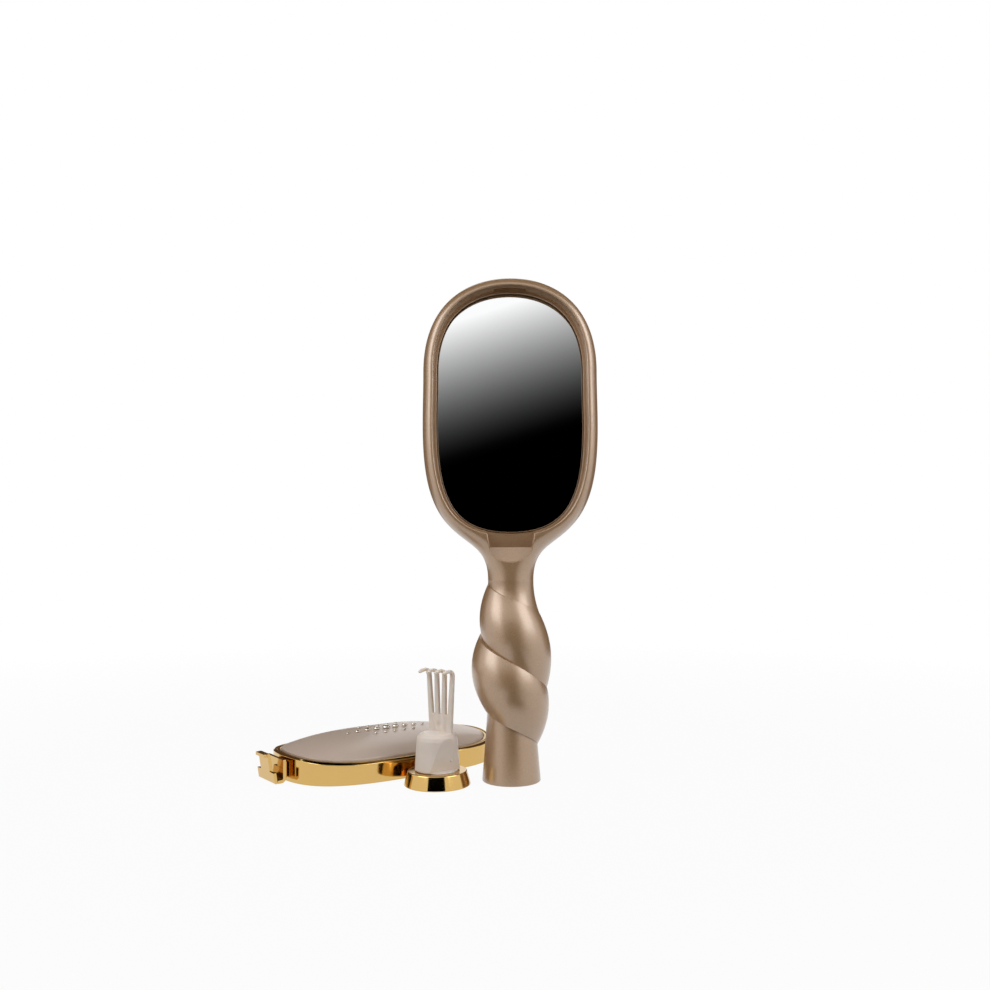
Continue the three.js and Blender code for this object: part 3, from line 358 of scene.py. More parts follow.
def modify(piece, kind, **settings):
    """Adds a modifier, sets it and applies it"""
    take_up(piece)
    modifier = piece.modifiers.new(kind.title(), kind)
    for name, value in settings.items():
        setattr(modifier, name, value)
    bpy.ops.object.modifier_apply(modifier=modifier.name)


def soften(piece, width, angle=30):
    """Rounds the edges that are sharper than an angle"""
    modify(piece, "BEVEL", width=width, segments=3, limit_method="ANGLE", angle_limit=math.radians(angle),
           harden_normals=False, use_clamp_overlap=True)


def smooth(piece, angle):
    """Smooth shading, apart from edges that are sharper than an angle"""
    take_up(piece)
    bpy.ops.object.shade_smooth_by_angle(angle=math.radians(angle))


def firm(piece, angle):
    """Smooth shading that leaves the broad faces flat up to their rounded edges"""
    smooth(piece, angle)
    modify(piece, "WEIGHTED_NORMAL", mode="FACE_AREA", weight=50, keep_sharp=True)


MERGE_DISTANCE = 0.002 * MM


def tidy_mesh(piece):
    """Merges doubles and turns all faces outward"""
    start_edit(piece)
    bpy.ops.mesh.remove_doubles(threshold=MERGE_DISTANCE)
    bpy.ops.mesh.dissolve_degenerate(threshold=MERGE_DISTANCE)
    bpy.ops.mesh.normals_make_consistent(inside=False)
    end_edit()
    bm = bmesh.new()
    bm.from_mesh(piece.data)
    if bm.calc_volume(signed=True) < 0:
        bmesh.ops.reverse_faces(bm, faces=bm.faces)
        bm.to_mesh(piece.data)
    bm.free()


def place(piece, matrix):
    """Moves the mesh, so that the object stays at the origin"""
    piece.data.transform(matrix)
    piece.data.update()


def linked(name, mesh):
    """A new object with a mesh, in the scene"""
    piece = bpy.data.objects.new(name, mesh)
    bpy.context.collection.objects.link(piece)
    return piece


def mesh_piece(name, points, faces):
    mesh = bpy.data.meshes.new(name)
    mesh.from_pydata(points, [], faces)
    mesh.update()
    return linked(name, mesh)


def merge(piece, tool, operation):
    """Cuts a tool out of a piece or joins it on, and removes the tool"""
    modify(piece, "BOOLEAN", operation=operation, solver="EXACT", object=tool)
    bpy.data.objects.remove(tool)


def cut(piece, tool):
    merge(piece, tool, "DIFFERENCE")


def join_on(piece, tool):
    merge(piece, tool, "UNION")


def circle(name, count, fill="NOTHING"):
    """A circle of a few points or many, which are then set to their places"""
    deselect()
    bpy.ops.mesh.primitive_circle_add(vertices=count, radius=MM, fill_type=fill)
    piece = bpy.context.object
    piece.name = piece.data.name = name
    return piece


def block(low, high):
    """A box between two corners"""
    deselect()
    bpy.ops.mesh.primitive_cube_add(size=1, location=[(a + b) / 2 for a, b in zip(low, high)],
                                    scale=[b - a for a, b in zip(low, high)])
    bpy.ops.object.transform_apply(location=True, rotation=True, scale=True)
    return bpy.context.object


def sweep(name, rings, closed=False):
    """A circle of edges, extruded from ring to ring and either filled at both ends or closed on itself"""
    piece = circle(name, len(rings[0]))
    for vertex, spot in zip(piece.data.vertices, rings[0]):
        vertex.co = spot
    start_edit(piece)
    for before, after in zip(rings, rings[1:]):
        bpy.ops.mesh.extrude_region_move()
        bm = bmesh.from_edit_mesh(piece.data)
        spots = {tuple(round(c, 7) for c in old): new for old, new in zip(before, after)}
        for vertex in bm.verts:
            if vertex.select:
                vertex.co = spots[tuple(round(c, 7) for c in Vector(vertex.co))]
        bmesh.update_edit_mesh(piece.data)
    if closed:
        choose_rims(piece)
        bpy.ops.mesh.bridge_edge_loops()
    else:
        bpy.ops.mesh.select_mode(type="EDGE")
        bpy.ops.mesh.select_all(action="DESELECT")
        choose_rims(piece)
        bpy.ops.mesh.edge_face_add()
    turn_outward()
    end_edit()
    return piece


# The head's oval, which the recess, glass, brush and cover follow

def cubic(p, t):
    u = 1 - t
    return u ** 3 * p[0] + 3 * u * u * t * p[1] + 3 * u * t * t * p[2] + t ** 3 * p[3]


def cubic_way(p, t):
    u = 1 - t
    return (u * u * (p[1] - p[0]) + 2 * u * t * (p[2] - p[1]) + t * t * (p[3] - p[2])).normalized()


def head_curves():
    sizes = sizes_of("brush_handle")
    half = sizes.head_width / 2
    rise = HEAD_TOP - sizes.head_widest
    fall = sizes.head_widest - sizes.head_bottom
    upper = [
        Vector((0, HEAD_TOP)),
        Vector((sizes.top_fullness * half, HEAD_TOP)),
        Vector((half, sizes.head_widest + sizes.shoulder_fullness * rise)),
        Vector((half, sizes.head_widest)),
    ]
    lower = [
        Vector((half, sizes.head_widest)),
        Vector((half, sizes.head_widest - sizes.hip_fullness * fall)),
        Vector((sizes.bottom_fullness * half, sizes.head_bottom)),
        Vector((0, sizes.head_bottom)),
    ]
    return upper, lower


FINE_STEPS = 400
UPPER_SHARE = 0.2
# A curve's direction is taken at least this far from its ends
END_MARGIN = 1e-4


def even_path(pieces, count):
    """Points and directions at even distances along one or more curves, each given with its stretch"""
    points = []
    for curve, start, end in pieces:
        for i in range(FINE_STEPS + 1):
            t = start + (end - start) * i / FINE_STEPS
            way = cubic_way(curve, min(max(t, END_MARGIN), 1 - END_MARGIN))
            points.append((cubic(curve, t), way if end > start else -way))
    lengths = [0.0]
    for (a, _), (b, _) in zip(points, points[1:]):
        lengths.append(lengths[-1] + (b - a).length)
    result = []
    k = 0
    for i in range(count + 1):
        want = lengths[-1] * i / count
        while k < len(points) - 2 and lengths[k + 1] < want:
            k += 1
        stretch = lengths[k + 1] - lengths[k]
        part = (want - lengths[k]) / stretch if stretch > TINY else 0
        (p, along_p), (q, along_q) = points[k], points[k + 1]
        result.append((p.lerp(q, part), along_p.lerp(along_q, part).normalized()))
    return result


# Points round each oval
OUTLINE = 176


def head_outline(inset, count=OUTLINE):
    """The oval drawn in by an inset, as (x, z) points counted clockwise from the top"""
    upper, lower = head_curves()
    upper_steps = round(count * UPPER_SHARE)
    lower_steps = count // 2 - upper_steps
    right = []
    for curve, steps in ((upper, upper_steps), (lower, lower_steps)):
        for point, way in even_path([(curve, 0, 1)], steps)[:-1]:
            right.append(Vector((point.x + way.y * inset, point.y - way.x * inset)))
    right[0].x = 0
    right.append(Vector((0, sizes_of("brush_handle").head_bottom + inset)))
    left = [Vector((-p.x, p.y)) for p in reversed(right[1:-1])]
    return right + left


def head_ring(inset, y):
    return [Vector((p.x, y, p.y)) for p in head_outline(inset)]


# The handle moulding

def along(values, spot):
    """A value from a list at a fractional place, smoothly"""
    last = len(values) - 1
    i = min(max(math.floor(spot), 0), last - 1)
    t = min(max(spot - i, 0), 1)
    p0, p1, p2, p3 = (values[min(max(i + k, 0), last)] for k in (-1, 0, 1, 2))
    m1, m2 = (p2 - p0) / 2, (p3 - p1) / 2
    t2, t3 = t * t, t * t * t
    return (2 * t3 - 3 * t2 + 1) * p1 + (t3 - 2 * t2 + t) * m1 + (3 * t2 - 2 * t3) * p2 + (t3 - t2) * m2


def mix(a, b, t):
    return a + (b - a) * t


def ease(value, start, end):
    t = min(max((value - start) / (end - start), 0), 1)
    return t * t * (3 - 2 * t)


CORNER_ARC = (0, 30, 60, 90)


def quarter(edge, turns):
    """How far a rounded edge draws back from its two sides, at a few angles in degrees"""
    angles = [math.radians(turn) for turn in turns]
    return [(edge * (1 - math.cos(angle)), edge * (1 - math.sin(angle))) for angle in angles]


def crease_height(s):
    return along(CREASE_HEIGHTS, s - CREASE_START) * MM


def stem_radius(z):
    sizes = sizes_of("brush_handle")
    return mix(sizes.stem_foot_radius, sizes.stem_waist_radius, z / sizes.stem_waist_height)


def strand_top_radius(s):
    spot = s - CREASE_START
    last = len(STRAND_TOP_RADII) - 1
    if spot <= last:
        return along(STRAND_TOP_RADII, spot) * MM
    return mix(STRAND_TOP_RADII[last] * MM, stem_radius(crease_height(s)), min(spot - last, 1))


def strand_foot_radius(s):
    last = len(STRAND_FOOT_RADII) - 1
    if s <= 0:
        return STRAND_FOOT_RADII[0] * MM
    if s <= last:
        return along(STRAND_FOOT_RADII, s) * MM
    return mix(STRAND_FOOT_RADII[last] * MM, stem_radius(crease_height(s)), min((s - last) / 2, 1))


STRAND_STEPS = 22
# How far the steps crowd towards the creases: 0 is even
STRAND_CROWDING = 0.6
EDGE_ARC = (0, 30, 60)
FOOT_ARC = (30, 60, 90)
STEM_STEPS = 10


def strand_column(s):
    """Radius and height down the strand from the crease at s to the crease one turn later"""
    top, foot = crease_height(s), crease_height(s + TURN)
    swell = along(STRAND_SWELLS, s - CREASE_START) * MM
    low, high = strand_foot_radius(s + TURN), strand_top_radius(s)
    ledge = max(high - strand_foot_radius(s), 0) if s > 0 else 0
    edge = min(sizes_of("brush_handle").strand_edge_round, ledge)
    first = edge / (top - foot)

    def radius(t):
        return mix(high, low, t) + swell * 4 * t * (1 - t)

    column = [(radius(first) - side, top - drop) for drop, side in quarter(edge, EDGE_ARC)]
    for i in range(STRAND_STEPS + 1):
        spread = (1 - math.cos(math.pi * i / STRAND_STEPS)) / 2
        t = mix(first, 1, mix(i / STRAND_STEPS, spread, STRAND_CROWDING))
        column.append((radius(t), mix(top, foot, t)))
    return column


QUARTER = 26
STATIONS = 132
THROAT_BLEND = 26 * MM
BACK_BLEND = 17 * MM


def head_stations():
    """The handle's outline from the throat to the head's top, with its inward direction and its roundings"""
    sizes = sizes_of("brush_handle")
    upper, lower = head_curves()
    join = next(i / FINE_STEPS for i in range(FINE_STEPS, 0, -1)
                if cubic(lower, i / FINE_STEPS).y > sizes.flare_join)
    meet, way = cubic(lower, join), -cubic_way(lower, join)
    flare = [
        Vector((sizes.throat_radius, sizes.throat_low)),
        Vector((sizes.throat_radius, sizes.throat_low + sizes.flare_throat_pull)),
        meet - way * sizes.flare_head_pull,
        meet,
    ]
    stations = []
    for point, way in even_path([(flare, 0, 1), (lower, join, 0), (upper, 1, 0)], STATIONS):
        front = ease(point.y, sizes.throat_low, sizes.throat_low + THROAT_BLEND)
        back = ease(point.y, sizes.throat_low, sizes.throat_low + BACK_BLEND)
        stations.append({
            "x": point.x,
            "z": point.y,
            "in_x": -way.y,
            "in_z": way.x,
            "front_round": mix(sizes.throat_radius, sizes.rim_front_round, front),
            "back_round": mix(sizes.throat_radius, sizes.rim_back_round, back),
            "front": mix(sizes.throat_radius, sizes.front_depth, back),
            "back": mix(sizes.throat_radius, sizes.back_depth, back),
        })
    stations[0].update(x=sizes.throat_radius, in_x=-1, in_z=0)
    stations[-1].update(x=0, in_x=0, in_z=-1)
    # The inward way points towards the axis
    for station in stations:
        if station["in_x"] > 0:
            station["in_x"], station["in_z"] = -station["in_x"], -station["in_z"]
    return stations


def front_at(skin, x, z):
    """Where the skin's front lies at a place on the head or throat"""
    found, spot = skin.ray_cast(Vector((x, -1, z)), Vector((0, 1, 0)))[:2]
    return spot.y if found else 0


def head_loop(station):
    """One closed loop round the head or throat: left, front, right and back"""
    angles = [math.pi / 2 * j / QUARTER for j in range(QUARTER + 1)]

    def spot(side, angle, rounding, depth):
        inward = rounding * (1 - math.cos(angle))
        x = max(station["x"] + station["in_x"] * inward, 0)
        return Vector((side * x, depth * math.sin(angle), station["z"] + station["in_z"] * inward))

    front, back = -station["front"], station["back"]
    loop = [spot(-1, a, station["front_round"], front) for a in angles]
    loop += [spot(1, a, station["front_round"], front) for a in reversed(angles)]
    loop += [spot(1, a, station["back_round"], back) for a in angles[1:]]
    loop += [spot(-1, a, station["back_round"], back) for a in reversed(angles[1:])]
    return loop


def stem_column(s):
    """Radius and height from the last crease down to the foot's rounded edge"""
    sizes = sizes_of("brush_handle")
    under = crease_height(s + 2 * TURN)
    low = sizes.foot_round
    column = [(stem_radius(z), z) for z in (mix(under, low, i / STEM_STEPS) for i in range(STEM_STEPS + 1))]
    return column + [(stem_radius(low) - side, z) for side, z in quarter(low, FOOT_ARC)]


def grip_columns(points):
    """Upright columns of the grip and stem, each with the places where its creases lie"""
    columns = []
    count = 4 * QUARTER
    sizes = sizes_of("brush_handle")
    for j in range(count):
        angle = 2 * math.pi * j / count
        s = TURN * j / count
        column = []
        marks = [0]
        runs = [[(sizes.throat_radius, sizes.throat_low)]]
        runs += [strand_column(s + k * TURN) for k in (-1, 0, 1)]
        runs.append(stem_column(s))
        for k, run in enumerate(runs):
            for radius, z in run:
                column.append(len(points))
                points.append(Vector((-radius * math.cos(angle), -radius * math.sin(angle), z)))
            if k:
                marks.append(len(column) - 1)
        columns.append((column, marks))
    return columns


def stitch(a, b, points, faces):
    """Faces between two columns: four-sided where they match, else in a zip of triangles"""
    if len(a) == len(b):
        faces += [(a[i], a[i + 1], b[i + 1], b[i]) for i in range(len(a) - 1)]
        return

    def depth(run, i):
        top, low = points[run[0]].z, points[run[-1]].z
        return (top - points[run[i]].z) / max(top - low, TINY)

    i = j = 0
    while i < len(a) - 1 or j < len(b) - 1:
        ahead = i < len(a) - 1 and (j == len(b) - 1 or depth(a, i + 1) <= depth(b, j + 1) + TINY)
        if ahead:
            faces.append((a[i], a[i + 1], b[j]))
            i += 1
        else:
            faces.append((a[i], b[j + 1], b[j]))
            j += 1


def tube(loops):
    """Points of a tube through closed loops, and its faces from loop to loop"""
    count = len(loops[0])
    faces = []
    for low in range(0, count * (len(loops) - 1), count):
        high = low + count
        for i in range(count):
            k = (i + 1) % count
            faces.append((low + i, low + k, high + k, high + i))
    return [point for loop in loops for point in loop], faces


def handle_skin():
    """The whole outside of the moulding as one closed skin"""
    points, faces = tube([head_loop(station) for station in head_stations()])
    columns = grip_columns(points)

    def run(column, start, end):
        indices, marks = column
        return indices[marks[start]:marks[end] + 1]

    for left, right in zip(columns, columns[1:]):
        for k in range(4):
            stitch(run(left, k, k + 1), run(right, k, k + 1), points, faces)
    # The strand passes on to its next turn where the last column meets the first
    last, first = columns[-1], columns[0]
    stitch(run(last, 0, 1), run(first, 0, 2), points, faces)
    stitch(run(last, 1, 2), run(first, 2, 3), points, faces)
    stitch(run(last, 2, 4), run(first, 3, 4), points, faces)
    faces.append([indices[-1] for indices, marks in columns])
    return mesh_piece("handle", points, faces)


# How far a cutting tool reaches past the surface that it cuts
PAST = 3 * MM
ROUND_STEPS = 4
BORE_POINTS = 96
BORE_SHOULDER = 1.5 * MM
BORE_END_SLANT = MM


def rounded_lip(inset, rounding):
    """Insets and depths round the edge of a cut's mouth, from the surface into the wall"""
    lip = []
    for i in range(ROUND_STEPS + 1):
        angle = math.pi / 2 * i / ROUND_STEPS
        lip.append((inset - rounding + rounding * math.sin(angle), rounding * (1 - math.cos(angle))))
    return lip


def before_handle():
    return -sizes_of("brush_handle").throat_radius - PAST


def recess_tool(skin):
    sizes = sizes_of("brush_handle")
    rings = [head_ring(sizes.rim_width - sizes.edge_round, before_handle())]
    for inset, depth in rounded_lip(sizes.rim_width, sizes.edge_round):
        rings.append([Vector((p.x, front_at(skin, p.x, p.y) + depth, p.y)) for p in head_outline(inset)])
    step = sizes.rim_width + sizes.glass_step
    half_round = sizes.edge_round / 2
    rings.append(head_ring(sizes.rim_width, -sizes.glass_step_depth))
    rings.append(head_ring(step - half_round, -sizes.glass_step_depth))
    rings.append(head_ring(step, half_round - sizes.glass_step_depth))
    rings.append(head_ring(step, sizes.recess_floor))
    return sweep("recess_tool", rings)


def seat_tool():
    sizes, field = sizes_of("brush_handle"), sizes_of("brush_field")
    rings = [head_ring(field.margin - sizes.edge_round, sizes.back_depth + PAST)]
    rings += [head_ring(inset, sizes.back_depth - depth)
              for inset, depth in rounded_lip(field.margin, sizes.edge_round)]
    rings.append(head_ring(field.margin, sizes.back_depth - field.seat_depth))
    return sweep("seat_tool", rings)


def slot_tool():
    sizes = sizes_of("brush_handle")
    top = HEAD_TOP - sizes.rim_width
    half = sizes.slot_width / 2
    tool = block((-half, sizes.slot_front, top - PAST), (half, sizes.slot_back, top + sizes.slot_depth))
    soften(tool, 2 * sizes.edge_round)
    return tool


POCKET_STEPS = 14
SCOOP_STEPS = 30
# How far the pocket's side ends above the scoop, so that a step stays between them
POCKET_HAIR = 0.01 * MM


def pocket_stations():
    """The pocket's left edge, from the recess down and round to the middle of the scoop"""
    sizes = sizes_of("brush_handle")
    top = sizes.head_bottom + sizes.rim_width + PAST
    top_half = mix(sizes.pocket_low_half, sizes.pocket_top_half,
                   (top - sizes.pocket_step) / (sizes.head_bottom + sizes.rim_width - sizes.pocket_step))
    slant = Vector((top - sizes.pocket_step, sizes.pocket_low_half - top_half)).normalized()
    corner = (slant + Vector((1, 0))).normalized()
    stations = []
    for i in range(POCKET_STEPS + 1):
        z = mix(top, sizes.pocket_step + POCKET_HAIR, i / POCKET_STEPS)
        x = mix(top_half, sizes.pocket_low_half, i / POCKET_STEPS)
        way = corner if i == POCKET_STEPS else slant
        stations.append((x, z, way.x, way.y, -sizes.pocket_floor))
    drop = sizes.pocket_step - sizes.pocket_lowest
    for i in range(SCOOP_STEPS + 1):
        angle = math.pi / 2 * i / SCOOP_STEPS
        x, z = sizes.pocket_low_half * math.cos(angle), sizes.pocket_step - drop * math.sin(angle)
        around_scoop = Vector((drop * math.cos(angle), -sizes.pocket_low_half * math.sin(angle)))
        way = around_scoop.normalized() if i else corner
        floor = mix(sizes.scoop_top_depth, sizes.scoop_low_depth, (sizes.pocket_step - z) / drop)
        stations.append((x, z, way.x, way.y, floor))
    return stations


def pocket_tool(skin):
    loops = []
    for x, z, out_x, out_z, floor in pocket_stations():
        half = []
        for inset, depth in rounded_lip(0, sizes_of("brush_handle").pocket_round):
            spot_x, spot_z = max(x - out_x * inset, 0), z - out_z * inset
            half.append((spot_x, front_at(skin, spot_x, spot_z) + depth, spot_z))
        half.insert(0, (half[0][0], before_handle(), half[0][2]))
        half.append((x, -floor, z))
        loops.append([Vector((-px, y, pz)) for px, y, pz in half] + [Vector(p) for p in reversed(half)])
    points, faces = tube(loops)
    faces.append(list(range(len(loops[0]))))
    tool = mesh_piece("pocket_tool", points, faces)
    tidy_mesh(tool)
    return tool


def turned_rings(profile, count):
    """Rings about +Z from (radius, height) pairs"""
    return [[Vector((r * math.cos(2 * math.pi * i / count), r * math.sin(2 * math.pi * i / count), z))
             for i in range(count)] for r, z in profile]


def bore_tool():
    sizes = sizes_of("brush_handle")
    lip = sizes.edge_round
    mouth, inner = sizes.bore_mouth_radius, sizes.bore_inner_radius
    profile = [
        (mouth + lip, -PAST),
        (mouth + lip, 0),
        (mouth, lip),
        (mouth, sizes.bore_mouth_depth),
        (inner, sizes.bore_mouth_depth + BORE_SHOULDER),
        (inner, sizes.bore_depth - BORE_END_SLANT),
        (inner / 2, sizes.bore_depth),
    ]
    return sweep("bore_tool", turned_rings(profile, BORE_POINTS))


def finish(piece, matrix, body, slot, material, *nodes):
    """Sets a piece in its place, with its finish, its body and the frame's pieces that it stands for"""
    place(piece, matrix)
    dress(piece, material)
    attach(piece, body)
    if nodes:
        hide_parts(*nodes)


def dress(piece, material):
    piece.data.materials.clear()
    piece.data.materials.append(material)


class BRUSH_OT_handle(bpy.types.Operator):
    """Makes the handle moulding: head, throat, twisted grip and stem, with all that is cut into them"""
    bl_idname = "brush.handle"
    bl_label = "Handle moulding"

    def execute(self, context):
        handle = handle_skin()
        tidy_mesh(handle)
        tools = (recess_tool(handle), slot_tool(), pocket_tool(handle), seat_tool(), bore_tool())
        for tool in tools:
            cut(handle, tool)
        tidy_mesh(handle)
        firm(handle, angle=32)
        finish(handle, HANDLE_PLACE, "handle", "champagne", champagne_lacquer(), "handle_moulding")
        return {"FINISHED"}


GLASS_GAP = 0.4 * MM
GLASS_BEVEL = 0.35 * MM


class BRUSH_OT_mirror(bpy.types.Operator):
    """Makes the mirror glass with its ground edge, and finishes the pad behind it"""
    bl_idname = "brush.mirror"
    bl_label = "Mirror glass"

    def execute(self, context):
        sizes = sizes_of("brush_handle")
        inset = sizes.rim_width + sizes.glass_step + GLASS_GAP
        glass = sweep("mirror", [
            head_ring(inset + GLASS_BEVEL, 0),
            head_ring(inset, GLASS_BEVEL),
            head_ring(inset, MIRROR_THICKNESS),
        ])
        tidy_mesh(glass)
        smooth(glass, angle=20)
        finish(glass, HANDLE_PLACE, "handle", "mirror", silvered_glass(), "mirror_glass")
        dress(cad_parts["mirror_pad"], foam_pad())
        return {"FINISHED"}


# The brush in the head's back

def cushion_inset():
    field = sizes_of("brush_field")
    return field.margin + 2 * field.gap + field.ring_width


def head_middle():
    """Height of the middle of the head's oval"""
    return (HEAD_TOP + sizes_of("brush_handle").head_bottom) / 2


def cushion_height(part):
    field = sizes_of("brush_field")
    return sizes_of("brush_handle").back_depth + field.cushion_edge + field.cushion_crown * (1 - part ** 2)


def cushion_ring(part, y):
    """The cushion's outline, drawn in to a part of its size"""
    middle = head_middle()
    return [Vector((p.x * part, y, middle + (p.y - middle) * part))
            for p in head_outline(cushion_inset(), CUSHION_POINTS)]


def part_out(x, z, edge):
    """How far out a place lies between the middle, 0, and an outline, 1"""
    middle = head_middle()
    part = 0
    for p, q in zip(edge, edge[1:] + edge[:1]):
        normal = Vector((q.y - p.y, p.x - q.x))
        reach = normal.x * p.x + normal.y * (p.y - middle)
        part = max(part, (normal.x * x + normal.y * (z - middle)) / reach)
    return part


def two_shoulders(outer, inner, top, edge, turns=CORNER_ARC):
    """Insets and heights over the two rounded shoulders of a ring, at a few angles of each"""
    bends = quarter(edge, turns)
    return ([(outer + side, top - drop) for side, drop in bends]
            + [(inner - side, top - drop) for side, drop in reversed(bends)])


def seat_floor():
    """Where the ring and the cushion begin in their seat"""
    field = sizes_of("brush_field")
    return sizes_of("brush_handle").back_depth - field.seat_depth + field.gap


SHOULDER_ARC = (0, 22.5, 45, 67.5, 90)


def retaining_ring():
    field = sizes_of("brush_field")
    outer = field.margin + field.gap
    inner = outer + field.ring_width
    proud = sizes_of("brush_handle").back_depth + field.ring_proud
    corners = [(outer, seat_floor())]
    corners += two_shoulders(outer, inner, proud, field.ring_edge, SHOULDER_ARC)
    corners.append((inner, seat_floor()))
    return sweep("brush_retaining_ring", [head_ring(inset, y) for inset, y in corners], closed=True)


CUSHION_POINTS = 120
CUSHION_ROUND = 0.4 * MM
# How far out the rings of the cushion's dome lie, from its edge to its middle
DOME_PARTS = (0.992, 0.97, 0.93, 0.87, 0.8, 0.7, 0.6, 0.48, 0.36, 0.24, 0.12, 0.04)


def rubber_cushion():
    rings = [cushion_ring(1, y) for y in (seat_floor(), cushion_height(1) - CUSHION_ROUND)]
    rings += [cushion_ring(part, cushion_height(part)) for part in DOME_PARTS]
    return sweep("brush_cushion", rings)


PIN_SIDES = 6
PIN_SINK = 0.8 * MM
PIN_PLAN_POINTS = 48


def pin():
    """One bristle pin along +Y, with the ball on its end"""
    field = sizes_of("brush_field")
    length, ball = field.pin_length, field.ball_radius
    middle = length - ball
    profile = [
        (field.pin_root_radius, -PIN_SINK),
        (field.pin_root_radius, 0),
        (0.82 * field.pin_root_radius, 0.7 * MM),
        (field.pin_tip_radius, middle - ball),
        (ball * 0.86, middle - ball * 0.5),
        (ball, middle),
        (ball * 0.7, middle + ball * 0.72),
        (ball * 0.2, length),
    ]
    piece = sweep("pin", turned_rings(profile, PIN_SIDES))
    tidy_mesh(piece)
    place(piece, Matrix.Rotation(-math.pi / 2, 4, "X"))
    return piece


def pin_places():
    field = sizes_of("brush_field")
    edge = head_outline(cushion_inset(), PIN_PLAN_POINTS)
    low, high = min(p.y for p in edge), max(p.y for p in edge)
    half = max(p.x for p in edge)
    limit = 1 - field.pin_margin / half
    rise = field.pitch * math.sin(math.pi / 3)
    rows = math.floor((high - low) / rise)
    across = math.ceil(half / field.pitch)
    places = []
    for row in range(rows + 1):
        z = head_middle() + (row - rows / 2) * rise
        for k in range(-across, across + 1):
            x = (k + (0.5 if row % 2 else 0)) * field.pitch
            part = part_out(x, z, edge)
            if part < limit:
                places.append(Vector((x, cushion_height(part), z)))
    return places


def copies(name, template, matrices):
    """One mesh that holds a copy of a template for each matrix"""
    bm = bmesh.new()
    for matrix in matrices:
        start = len(bm.verts)
        bm.from_mesh(template.data)
        bm.verts.ensure_lookup_table()
        bmesh.ops.transform(bm, matrix=matrix, verts=bm.verts[start:])
    mesh = bpy.data.meshes.new(name)
    bm.to_mesh(mesh)
    bm.free()
    bpy.data.objects.remove(template)
    return linked(name, mesh)


class BRUSH_OT_brush_field(bpy.types.Operator):
    """Makes the retaining ring, the domed cushion and the bristle pins in the head's back"""
    bl_idname = "brush.brush_field"
    bl_label = "Brush field"

    def execute(self, context):
        ring = retaining_ring()
        tidy_mesh(ring)
        smooth(ring, angle=40)
        finish(ring, HANDLE_PLACE, "handle", "champagne", champagne_lacquer(), "brush_ring")
        cushion = rubber_cushion()
        tidy_mesh(cushion)
        smooth(cushion, angle=50)
        bands = [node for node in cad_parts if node.startswith("bristle_band")]
        finish(cushion, HANDLE_PLACE, "handle", "rubber", soft_rubber(), *bands)
        pins = copies("bristle_pins", pin(), [Matrix.Translation(spot) for spot in pin_places()])
        smooth(pins, angle=60)
        finish(pins, HANDLE_PLACE, "handle", "rubber", bristle_nylon())
        return {"FINISHED"}


# The mirror's cover, drawn flat: x along it to its tongue, y across it, z up from the floor

def cover_half_length():
    sizes = sizes_of("brush_handle")
    return (HEAD_TOP - sizes.head_bottom) / 2 - sizes.rim_width - sizes_of("brush_cover").clearance


def cover_outline(inset):
    start = sizes_of("brush_handle").rim_width + sizes_of("brush_cover").clearance
    return [Vector((p.y - head_middle(), p.x)) for p in head_outline(start + inset)]


def band_edge(x):
    cover = sizes_of("brush_cover")
    return cover.band_height + cover.end_rise * min(abs(x) / cover_half_length(), 1) ** cover.end_rise_power


def cover_ring(inset, rise=0, height=None):
    """A ring round the cover at a rise over the band's edge, or at a height over the floor"""
    return [Vector((p.x, p.y, band_edge(p.x) + rise if height is None else height))
            for p in cover_outline(inset)]


BAND_EDGE = 0.16 * MM
TONGUE_EDGE = 0.5 * MM


def gold_band():
    cover = sizes_of("brush_cover")
    edge, slant = BAND_EDGE, BAND_EDGE * math.sqrt(0.5)
    band = sweep("cover_gold_band", [
        cover_ring(edge, height=0),
        cover_ring(0, height=edge),
        cover_ring(0, rise=-edge),
        cover_ring(slant, rise=slant),
        cover_ring(cover.chamfer - slant, rise=cover.chamfer - slant),
        cover_ring(cover.chamfer + edge, rise=cover.chamfer),
        cover_ring(cover.wall, rise=cover.chamfer),
        cover_ring(cover.wall, height=0),
    ], closed=True)
    tidy_mesh(band)
    end = cover_half_length()
    half = cover.tongue_width / 2
    tongue = block((end - cover.wall, -half, cover.tongue_low),
                   (end + cover.tongue_length, half, cover.tongue_low + cover.tongue_thickness))
    soften(tongue, TONGUE_EDGE)
    join_on(band, tongue)
    return band


def bezel_outer():
    cover = sizes_of("brush_cover")
    return cover.wall + cover.gap


def bezel_inner():
    return bezel_outer() + sizes_of("brush_cover").bezel_width


BEZEL_EDGE = 0.55 * MM


def gold_bezel():
    cover = sizes_of("brush_cover")
    top = cover.chamfer + cover.bezel_proud
    foot = cover.panel_edge - cover.panel_thickness - cover.gap
    outer, inner = bezel_outer(), bezel_inner()
    rings = [cover_ring(outer, foot - cover.bezel_foot_thickness)]
    for inset, rise in two_shoulders(outer, inner, top, BEZEL_EDGE):
        rings.append(cover_ring(inset, rise))
    inside = inner + cover.bezel_foot
    rings += [cover_ring(inner, foot), cover_ring(inside, foot),
              cover_ring(inside, foot - cover.bezel_foot_thickness)]
    return sweep("cover_gold_bezel", rings, closed=True)


def panel_height(x, part):
    cover = sizes_of("brush_cover")
    return band_edge(x) + cover.panel_edge + cover.panel_crown * (1 - part ** cover.panel_roundness)


# How far out the rings of the panel lie, under it and over it
PANEL_UNDER = (0.1, 0.4, 0.7, 0.9, 1)
PANEL_OVER = (0.985, 0.965, 0.94, 0.91, 0.875, 0.84, 0.79, 0.73, 0.66, 0.58, 0.49, 0.39, 0.28, 0.16, 0.05)
PANEL_ROUND = 0.25 * MM


